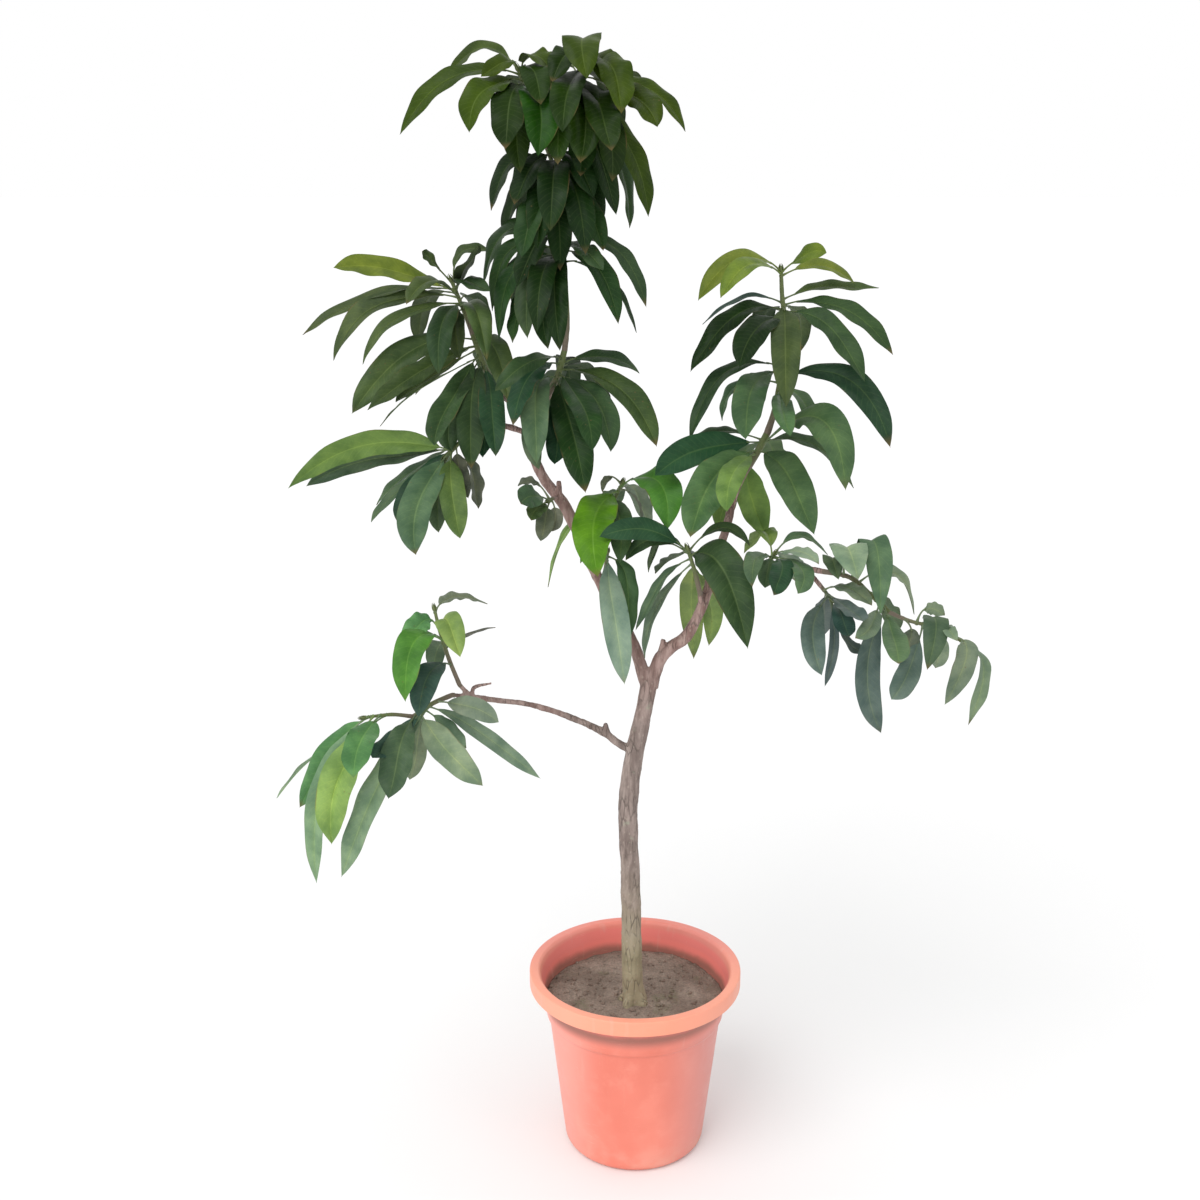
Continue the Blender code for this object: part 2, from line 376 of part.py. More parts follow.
    "low_middle_whorl": ("low_lower_twig", [(-27.7, 66.9, -2.6), (-30.4, 65.0, -3.0)], 2.8, [
        (0.80, -26.5, 60.9, -21.2, 54.9, -9, 3.7, 0.9),
        (0.60, -21.3, 62.8, -13.3, 56.0, -4, 2.2, 0.7),
        (0.40, -23.2, 66.4, -18.8, 64.2, -8, 2.8, 0.7),
        (0.90, -32.8, 60.2, -34.2, 53.0, -12, 4.2, 0.7),
        (0.50, -36.1, 54.8, -41.2, 41.2, -9, 3.5, 0.6),
        (0.70, -30.4, 60.6, -31.2, 55.8, 7, 3.0, 0.0),
        (0.70, -26.0, 63.7, -23.3, 60.4, -3, 2.4, 0.6),
        (0.55, -33.4, 61.6, -36.2, 59.0, -9, 2.6, 0.5)]),
    "low_end_whorl": ("low_middle_whorl", [(-33.3, 65.3, -3.2), (-36.8, 64.9, -3.4)], 1.8, [
        (0.70, -37.7, 61.4, -38.9, 56.1, -14, 3.6, 0.6),
        (0.95, -42.1, 59.9, -46.5, 51.7, 0, 3.5, 0.7),
        (0.90, -43.4, 60.1, -49.6, 53.1, 6, 1.9, 0.2),
        (1.00, -43.8, 54.4, -44.8, 40.3, -5, 2.9, 0.8),
        (0.85, -40.4, 56.5, -42.4, 46.2, -9, 4.4, 0.8),
        (0.60, -38.8, 60.8, -39.6, 55.8, 6, 3.0, 0.0)]),
}

# A second stem that forks off a shoot's own: the shoot, then (x, z, y) in cm and the radius in mm
SIDE_STEMS = {"second_side_stem": ("second_whorl", [(-10.2, 135.8, 0.95, 2.9), (-11.5, 139.2, 0.4, 2.6)])}


def clear_scene():
    for thing in list(bpy.data.objects):
        bpy.data.objects.remove(thing, do_unlink=True)


def material(name):
    red, green, blue, roughness = COLOURS[name]
    made = bpy.data.materials.new(name)
    made.use_nodes = True
    shader = made.node_tree.nodes["Principled BSDF"]
    shader.inputs["Base Color"].default_value = (red, green, blue, 1)
    shader.inputs["Roughness"].default_value = roughness
    shader.inputs["Metallic"].default_value = 0
    return made


def lean(x, z):
    """The depth in cm that the lean of the branches adds at (x, z) on the sheet."""
    return sum(depth * math.exp(-((x - mid_x) ** 2 + (z - mid_z) ** 2) / reach ** 2)
               for mid_x, mid_z, reach, depth in LEANS)


def behind(x, z, y):
    """The point seen at (x, z) cm on the sheet, at depth y cm and its lean along the same line of sight."""
    seen = Vector((x * CM, 0, z * CM))
    return EYE + (seen - EYE) * (((y + lean(x, z)) * CM - EYE.y) / -EYE.y)


def depth_of(point):
    """The depth in cm, without the lean, of a point in the tree."""
    seen = EYE + (point - EYE) * (-EYE.y / (point.y - EYE.y))
    return point.y / CM - lean(seen.x / CM, seen.z / CM)


def smooth_path(points):
    """Points on a smooth curve through the given ones, with PATH_STEPS pieces between each two."""
    path = []
    for i in range(len(points) - 1):
        a = points[max(i - 1, 0)]
        b = points[i]
        c = points[i + 1]
        d = points[min(i + 2, len(points) - 1)]
        for k in range(PATH_STEPS):
            t = k / PATH_STEPS
            path.append(0.5 * (2 * b + (c - a) * t + (2 * a - 5 * b + 4 * c - d) * t ** 2
                               + (3 * b - a - 3 * c + d) * t ** 3))
    path.append(points[-1])
    return path


def along(values, steps=PATH_STEPS):
    """The same refinement for plain numbers: straight lines between the given values."""
    fine = []
    for low, high in zip(values, values[1:]):
        for k in range(steps):
            fine.append(low + (high - low) * k / steps)
    fine.append(values[-1])
    return fine


def tube_rings(path, radii, sides, first_way=None):
    """Round rings square to the path. first_way turns the first ring square to its parent's end."""
    rings = []
    across = None
    for i, point in enumerate(path):
        way = (path[min(i + 1, len(path) - 1)] - path[max(i - 1, 0)]).normalized()
        if i == 0 and first_way is not None:
            way = first_way
        if across is None:
            across = way.orthogonal().normalized()
        across = (across - way * across.dot(way)).normalized()
        up = way.cross(across)
        turns = [2 * math.pi * k / sides for k in range(sides)]
        rings.append([point + radii[i] * (across * math.cos(a) + up * math.sin(a)) for a in turns])
    return rings


def skin(rings, tip=None):
    """Corners and flat faces of the closed skin over the rings. It ends in a point if tip is given.

    The upper and lower side of a flat ring are cut along matching diagonals, so that a twisted leaf stays whole.
    """
    count = len(rings[0])
    corners = [corner for ring in rings for corner in ring]
    faces = [tuple(reversed(range(count)))]
    for i in range(len(rings) - 1):
        for k in range(count):
            here = i * count + k
            beside = i * count + (k + 1) % count
            if k < count / 2:
                faces.append((here, beside, beside + count))
                faces.append((here, beside + count, here + count))
            else:
                faces.append((here, beside, here + count))
                faces.append((beside, beside + count, here + count))
    last = (len(rings) - 1) * count
    if tip is None:
        faces.append(tuple(range(last, last + count)))
    else:
        corners.append(tip)
        for k in range(count):
            faces.append((last + k, last + (k + 1) % count, len(corners) - 1))
    return corners, faces


def together(skins):
    """Several skins as one list of corners and faces."""
    corners = []
    faces = []
    for more_corners, more_faces in skins:
        start = len(corners)
        corners += more_corners
        faces += [tuple(start + k for k in face) for face in more_faces]
    return corners, faces


def place(name, shape):
    """An object from corners and faces. One that has no colour of its own is a hidden guide."""
    corners, faces = shape
    mesh = bpy.data.meshes.new(name)
    mesh.from_pydata(corners, [], faces)
    mesh.validate()
    thing = bpy.data.objects.new(name, mesh)
    bpy.context.scene.collection.objects.link(thing)
    if name in COLOURS:
        mesh.materials.append(material(name))
        mesh.shade_smooth()
        mesh.set_sharp_from_angle(angle=SHARP_ANGLE)
    else:
        thing.hide_render = True
        thing.display_type = "WIRE"
    return thing


def boolean(thing, operation, other):
    change = thing.modifiers.new(operation.lower(), "BOOLEAN")
    change.operation = operation
    change.solver = "EXACT"
    change.use_self = operation == "UNION"
    change.object = other


def leaf_line(start, middle, tip, share):
    """A point on the curve that passes start, middle and tip."""
    bend = 2 * middle - (start + tip) / 2
    return start * (1 - share) ** 2 + bend * (2 * share * (1 - share)) + tip * share ** 2


def leaf_skin(start, middle, tip, width, turn):
    """A folded, pointed leaf with its stalk. turn runs from 0, as it hangs, to 1, facing the viewer."""
    heading = tip - start
    heading.z = 0
    if heading.length < 0.01:
        heading = TO_VIEWER
    side_way = Vector((0, 0, 1)).cross(heading.normalized())
    stalk = PETIOLE / ((middle - start).length + (tip - middle).length)
    stations = [(0, 0), (stalk, 0)] + [(stalk + (1 - stalk) * s, w) for s, w in BLADE]
    rings = []
    for share, breadth in stations:
        point = leaf_line(start, middle, tip, share)
        way = (leaf_line(start, middle, tip, share + LINE_STEP) - point).normalized()
        natural = way.cross(side_way).normalized()
        face = natural * (1 - abs(turn)) + TO_VIEWER * turn
        face = (face - way * face.dot(way)).normalized()
        side = face.cross(way)
        half_width = max(breadth * width / 2, PETIOLE_RADIUS)
        half_thick = LEAF_THICKNESS / 2 if breadth else PETIOLE_RADIUS
        sunk = LEAF_FOLD * breadth * width
        rings.append([point + side * half_width, point + face * (half_thick - sunk),
                      point - side * half_width, point - face * (half_thick + sunk)])
    return skin(rings, tip)


def carried_on(parent):
    """Where the next stem starts: just past the parent's end, and the way it points there."""
    way = (parent[-1] - parent[-2]).normalized()
    return parent[-1] + way * GAP, way


def wood_paths():
    """The smooth path of each woody tube, and the plain one of each side stem."""
    paths = {name: smooth_path([behind(x, z, y) for x, z, y, radius in points]) for name, points in WOOD.items()}
    for name, (carrier, points) in SIDE_STEMS.items():
        paths[name] = [behind(x, z, y) for x, z, y, radius in points]
    return paths


def shoot_stems(paths):
    """Each shoot's stem: path, radii and whether another shoot carries on from its end."""
    parents = {shoot[0] for shoot in SHOOTS.values()}
    ends = {name: points[-1][3] * MM for name, points in WOOD.items()}
    ends.update({name: points[-1][3] * MM for name, (carrier, points) in SIDE_STEMS.items()})
    stems = {}
    for name, (parent, points, thin, leaves) in SHOOTS.items():
        start, way = carried_on(paths[parent])
        path = smooth_path([start] + [behind(*point) for point in points])
        radii = along([ends[parent], thin * MM], len(path) - 1)
        stems[name] = (path, radii, way, name in parents)
        paths[name] = path
        ends[name] = thin * MM
    return stems


def leaves_of(path, leaves):
    """The skins of the leaves that grow from a stem."""
    skins = []
    for share, mid_x, mid_z, tip_x, tip_z, tip_y, width, turn in leaves:
        spot = share * (len(path) - 1)
        low = min(int(spot), len(path) - 2)
        start = path[low].lerp(path[low + 1], spot - low)
        start_y = depth_of(start)
        mid_y = start_y + (tip_y - start_y) * MID_DEPTH
        middle = behind(mid_x, mid_z, mid_y)
        skins.append(leaf_skin(start, middle, behind(tip_x, tip_z, tip_y), width * CM, turn))
    return skins


def inner_wall():
    """The pot's inside as (radius, height), from the edge of the floor up to the rim."""
    return [
        (BASE_RADIUS - POT_WALL - FLOOR_CORNER, FLOOR_TOP),
        (BASE_RADIUS - POT_WALL, FLOOR_TOP + FLOOR_CORNER),
        (BODY_LOW_RADIUS - POT_WALL, BODY_LOW),
        (BODY_TOP_RADIUS - POT_WALL, COLLAR_BOTTOM - STEP_HEIGHT),
        (COLLAR_BOTTOM_RADIUS - POT_WALL, COLLAR_BOTTOM + STEP_HEIGHT),
        (COLLAR_TOP_RADIUS - POT_WALL, POT_HEIGHT - RIM_DROP),
        (RIM_INNER_RADIUS - RIM_ROUND, POT_HEIGHT - RIM_WALL),
        (RIM_INNER_RADIUS, POT_HEIGHT),
    ]


def outer_wall():
    """The pot's outside as (radius, height), from the rim down to the foot ring and in to the middle."""
    lip = POT_HEIGHT - RIM_DROP
    under = POT_HEIGHT - RIM_WALL
    skirt = RIM_RADIUS - RIM_WALL
    inner_recess, outer_recess = RECESS_RADII
    return [
        (RIM_RADIUS - RIM_ROUND, POT_HEIGHT),
        (RIM_RADIUS, POT_HEIGHT - RIM_ROUND),
        (RIM_RADIUS, lip + RIM_ROUND / 2),
        (RIM_RADIUS - RIM_ROUND / 2, lip),
        (skirt, lip),
        (skirt, under),
        (RIM_INNER_RADIUS, under),
        (COLLAR_TOP_RADIUS, lip),
        (COLLAR_BOTTOM_RADIUS, COLLAR_BOTTOM + STEP_HEIGHT / 2),
        (COLLAR_BOTTOM_RADIUS - RIM_ROUND, COLLAR_BOTTOM),
        (BODY_TOP_RADIUS, COLLAR_BOTTOM - STEP_HEIGHT / 2),
        (BODY_LOW_RADIUS, BODY_LOW),
        (BASE_RADIUS, FOOT_ROUND),
        (BASE_RADIUS - FOOT_ROUND * 0.3, FOOT_ROUND * 0.3),
        (BASE_RADIUS - FOOT_ROUND, 0),
        (outer_recess + RIM_ROUND, 0),
        (outer_recess, RECESS_DEPTH),
        (inner_recess, RECESS_DEPTH),
        (PAD_RADIUS, 0),
        (0, 0),
    ]


def turned(name, profile):
    """A solid turned about the upright axis. Its profile starts on the axis and runs down the outside."""
    mesh = bpy.data.meshes.new(name)
    edges = [(i, i + 1) for i in range(len(profile) - 1)]
    mesh.from_pydata([(radius, 0, height) for radius, height in profile], edges, [])
    thing = bpy.data.objects.new(name, mesh)
    bpy.context.scene.collection.objects.link(thing)
    mesh.materials.append(material(name))
    screw = thing.modifiers.new("turn", "SCREW")
    screw.steps = ROUND_STEPS
    screw.render_steps = ROUND_STEPS
    screw.use_merge_vertices = True
    screw.merge_threshold = 0.0001
    return thing


def circle(radius, height, steps=ROUND_STEPS, centre=(0, 0)):
    turns = [2 * math.pi * k / steps for k in range(steps)]
    x, y = centre
    return [Vector((x + radius * math.cos(a), y + radius * math.sin(a), height)) for a in turns]


def make_pot():
    pot = turned("pot", [(0, FLOOR_TOP)] + inner_wall() + outer_wall())
    holes = []
    for k in range(DRAIN_HOLES):
        turn = 2 * math.pi * k / DRAIN_HOLES
        centre = (DRAIN_RING_RADIUS * math.cos(turn), DRAIN_RING_RADIUS * math.sin(turn))
        ends = [circle(DRAIN_HOLE_RADIUS, height, HOLE_SIDES, centre) for height in (-FLOOR_TOP, 2 * FLOOR_TOP)]
        holes.append(skin(ends))
    boolean(pot, "DIFFERENCE", place("drain_hole_cutter", together(holes)))
    return pot


def soil_height(x, y):
    """A slightly uneven surface, a little higher round the trunk."""
    first, second, third = SOIL_WAVES
    waves = math.sin(first * x + 1.2) + math.sin(second * y - 0.6) * math.cos(third * x)
    mound = math.exp(-((x - ROOT_SPOT[0]) ** 2 + (y - ROOT_SPOT[1]) ** 2) / MOUND_SPREAD)
    return SOIL_TOP + SOIL_SWELL * (0.5 * waves + 1.4 * mound)


def make_soil(trunk_path, trunk_radii):
    wall = inner_wall()
    (low_radius, low), (high_radius, high) = wall[4], wall[5]
    edge = low_radius + (high_radius - low_radius) * (SOIL_TOP - SOIL_SWELL - low) / (high - low)
    rings = [circle(wall[0][0] - SOIL_CLEARANCE, wall[0][1] + GAP)]
    rings += [circle(radius - SOIL_CLEARANCE, height) for radius, height in wall[1:5]]
    rings.append(circle(edge - SOIL_CLEARANCE, SOIL_TOP - SOIL_SWELL))
    for radius in reversed(SOIL_RINGS):
        rings.append([Vector((p.x, p.y, soil_height(p.x, p.y))) for p in circle(radius, 0)])
    soil = place("soil", skin(rings, Vector((0, 0, soil_height(0, 0)))))
    room = [radius + SOIL_CLEARANCE for radius in trunk_radii[:BURIED_RINGS]]
    path = [trunk_path[0] - Vector((0, 0, SOIL_CLEARANCE))] + trunk_path[1:BURIED_RINGS]
    boolean(soil, "DIFFERENCE", place("trunk_foot_cutter", skin(tube_rings(path, room, TRUNK_SIDES))))
    return soil


def make_wood(paths):
    tubes = []
    for name, points in WOOD.items():
        radii = along([point[3] * MM for point in points])
        sides = TRUNK_SIDES if name == "trunk" else TWIG_SIDES
        tubes.append(skin(tube_rings(paths[name], radii, sides)))
    wood = place("trunk_and_limbs", tubes[0])
    boolean(wood, "UNION", place("limb_guide", together(tubes[1:])))
    return wood


def make_shoots(paths):
    for name, (path, radii, way, goes_on) in shoot_stems(paths).items():
        rings = tube_rings(path, radii, TWIG_SIDES, way)
        bud = path[-1] + (path[-1] - path[-2]).normalized() * BUD_LENGTH
        stem = skin(rings, None if goes_on else bud)
        leaves = leaves_of(path, SHOOTS[name][3])
        for side_name, (carrier, points) in SIDE_STEMS.items():
            if carrier == name:
                side_radii = [point[3] * MM for point in points]
                leaves.append(skin(tube_rings(paths[side_name], side_radii, TWIG_SIDES)))
        shoot = place(name, together(leaves))
        boolean(shoot, "UNION", place(name + "_stem_guide", stem))


def main():
    clear_scene()
    paths = wood_paths()
    make_pot()
    make_soil(paths["trunk"], along([point[3] * MM for point in WOOD["trunk"]]))
    make_wood(paths)
    make_shoots(paths)


main()
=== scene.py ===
import math

import bpy
import numpy as np
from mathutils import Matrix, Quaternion, Vector, noise


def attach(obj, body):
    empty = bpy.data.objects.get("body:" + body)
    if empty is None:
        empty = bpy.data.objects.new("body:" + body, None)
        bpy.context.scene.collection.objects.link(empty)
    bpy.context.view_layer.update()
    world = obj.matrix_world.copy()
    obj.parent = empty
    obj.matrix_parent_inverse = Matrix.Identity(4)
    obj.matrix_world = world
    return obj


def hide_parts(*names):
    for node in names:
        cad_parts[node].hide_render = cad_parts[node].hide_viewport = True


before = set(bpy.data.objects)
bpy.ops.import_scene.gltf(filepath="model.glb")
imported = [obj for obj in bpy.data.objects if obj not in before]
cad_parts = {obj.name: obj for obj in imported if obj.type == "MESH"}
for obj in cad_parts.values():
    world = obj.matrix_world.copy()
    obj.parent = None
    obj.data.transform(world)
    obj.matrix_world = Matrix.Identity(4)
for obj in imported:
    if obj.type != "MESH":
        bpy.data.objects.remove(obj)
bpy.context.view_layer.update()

CM = 0.01
MM = 0.001
EYE = Vector((-0.05, -2.0, 1.40))
TO_VIEWER = Vector((0, -1, 0))
UP = Vector((0, 0, 1))

# How the branches lean: (x, z) of the middle of a region and its reach in cm, and the depth in cm it adds there
LEANS = (
    (-42, 60, 26, -14),
    (-34, 116, 22, 13),
    (38, 76, 24, -14),
    (24, 117, 20, 10),
)

# Woody frame: (x, z, y) in cm and the radius in mm. Each tube starts inside the one that carries it.
WOOD = {
    "trunk": [
        (-0.1, 15.6, -2.6, 13), (0.1, 20.6, -2.5, 18), (-0.3, 24, -2.2, 15), (-0.5, 30, -1.8, 14),
        (-0.7, 40, -1.2, 13.2), (-1.1, 50, -0.6, 13.2), (-0.8, 56, -0.3, 13.4), (-0.1, 60.5, 0, 12.4),
        (0.9, 65.5, 0.3, 11), (1.7, 70.4, 0.5, 11.5)],
    "left_limb": [
        (1.5, 69, 0.5, 9.5), (0.3, 73, 0.8, 8.5), (-0.8, 76, 1.2, 7.5), (-2.1, 78.6, 1.5, 7),
        (-4.1, 82, 2, 7), (-6.1, 86.5, 2.2, 7.2), (-8.2, 91.4, 2.2, 7.4), (-9.9, 94.8, 2, 8.2),
        (-12.2, 97.8, 2, 7), (-13.5, 100.9, 2.2, 6.4), (-13.6, 104.4, 2.5, 5.8)],
    "left_leader": [(-13.3, 103.6, 2.5, 5), (-12.6, 106.6, 2.2, 4.6), (-11.5, 109.2, 1.9, 4.4)],
    "left_branch": [(-13.3, 103.6, 2.5, 5), (-15.2, 106.6, 2.9, 4.6), (-17.6, 109, 3.2, 4.4)],
    "left_twig": [(-13.4, 103.2, 2.4, 4.2), (-15.6, 104.4, 0.8, 3.8), (-18, 105, -0.8, 3.6)],
    "broken_stub": [(-10.2, 95.4, 1.9, 4), (-10.4, 97.6, 1, 3)],
    "sprig_twig": [(-10.4, 95.4, 2, 3), (-11.2, 95.3, -0.6, 2.6)],
    "centre_twig": [(-5.6, 86, 2.2, 3.6), (-5.4, 88, 3.4, 3.2), (-4.8, 90, 4.2, 3)],
    "centre_low_twig": [(-4.6, 84, 2.1, 3.2), (-4.3, 85.6, 0.4, 2.8)],
    "right_limb": [
        (1.9, 69.4, 0.5, 10), (2.9, 73, 0.2, 9.2), (4.5, 74.9, 0, 8.4), (6.5, 76.4, 0.2, 7.8),
        (8, 79.2, 0.8, 7), (9.4, 83.2, 1.6, 6.6), (10.4, 87.2, 2.2, 6.4), (11.7, 91.8, 2.6, 5.8),
        (12.6, 96.2, 2.6, 5.4), (14, 99.2, 2.4, 5)],
    "right_stub": [(3, 73.8, 0.1, 4.2), (3.5, 76, 0, 3.2)],
    "inner_twig": [(8.5, 80.6, 1, 3.8), (8.3, 82.4, -0.4, 3.4)],
    "right_low_branch": [
        (10.2, 86.4, 2.1, 5), (13, 86.2, 1.2, 4.4), (16.5, 85.9, 0.4, 4.2), (20, 86.1, -0.4, 3.8),
        (22.6, 85.8, -0.9, 3.6), (24.8, 85.4, -1.4, 3.2)],
    "right_low_twig": [(16.9, 85.9, 0.3, 3), (17.2, 86.7, -1.8, 2.8)],
    "right_under_twig": [(22.4, 85.8, -0.9, 3), (23.4, 84.5, -0.6, 2.8), (24.4, 83.3, -0.4, 2.6)],
    "low_branch": [
        (-0.5, 60, 0, 6), (-2.6, 61.2, -0.2, 5.4), (-4.6, 62.8, -0.4, 5.3), (-9.5, 65.1, -0.8, 4.2),
        (-14.3, 66.7, -1.2, 3.9), (-19.5, 67.4, -1.6, 3.8), (-23, 67.8, -2, 4)],
    "low_stub": [(-3.9, 62.6, -0.3, 4), (-4.3, 64, -0.4, 3)],
    "low_upper_twig": [(-22.6, 67.9, -2, 3.4), (-24, 69.6, -2, 3)],
    "low_bare_twig": [(-22.2, 67.8, -1.9, 2.6), (-22, 69.2, -2.2, 2.4), (-19.6, 69.8, -2.8, 1.8)],
    "low_lower_twig": [(-22.4, 67.9, -1.9, 3.4), (-25, 68.1, -2.2, 3.2)],
}

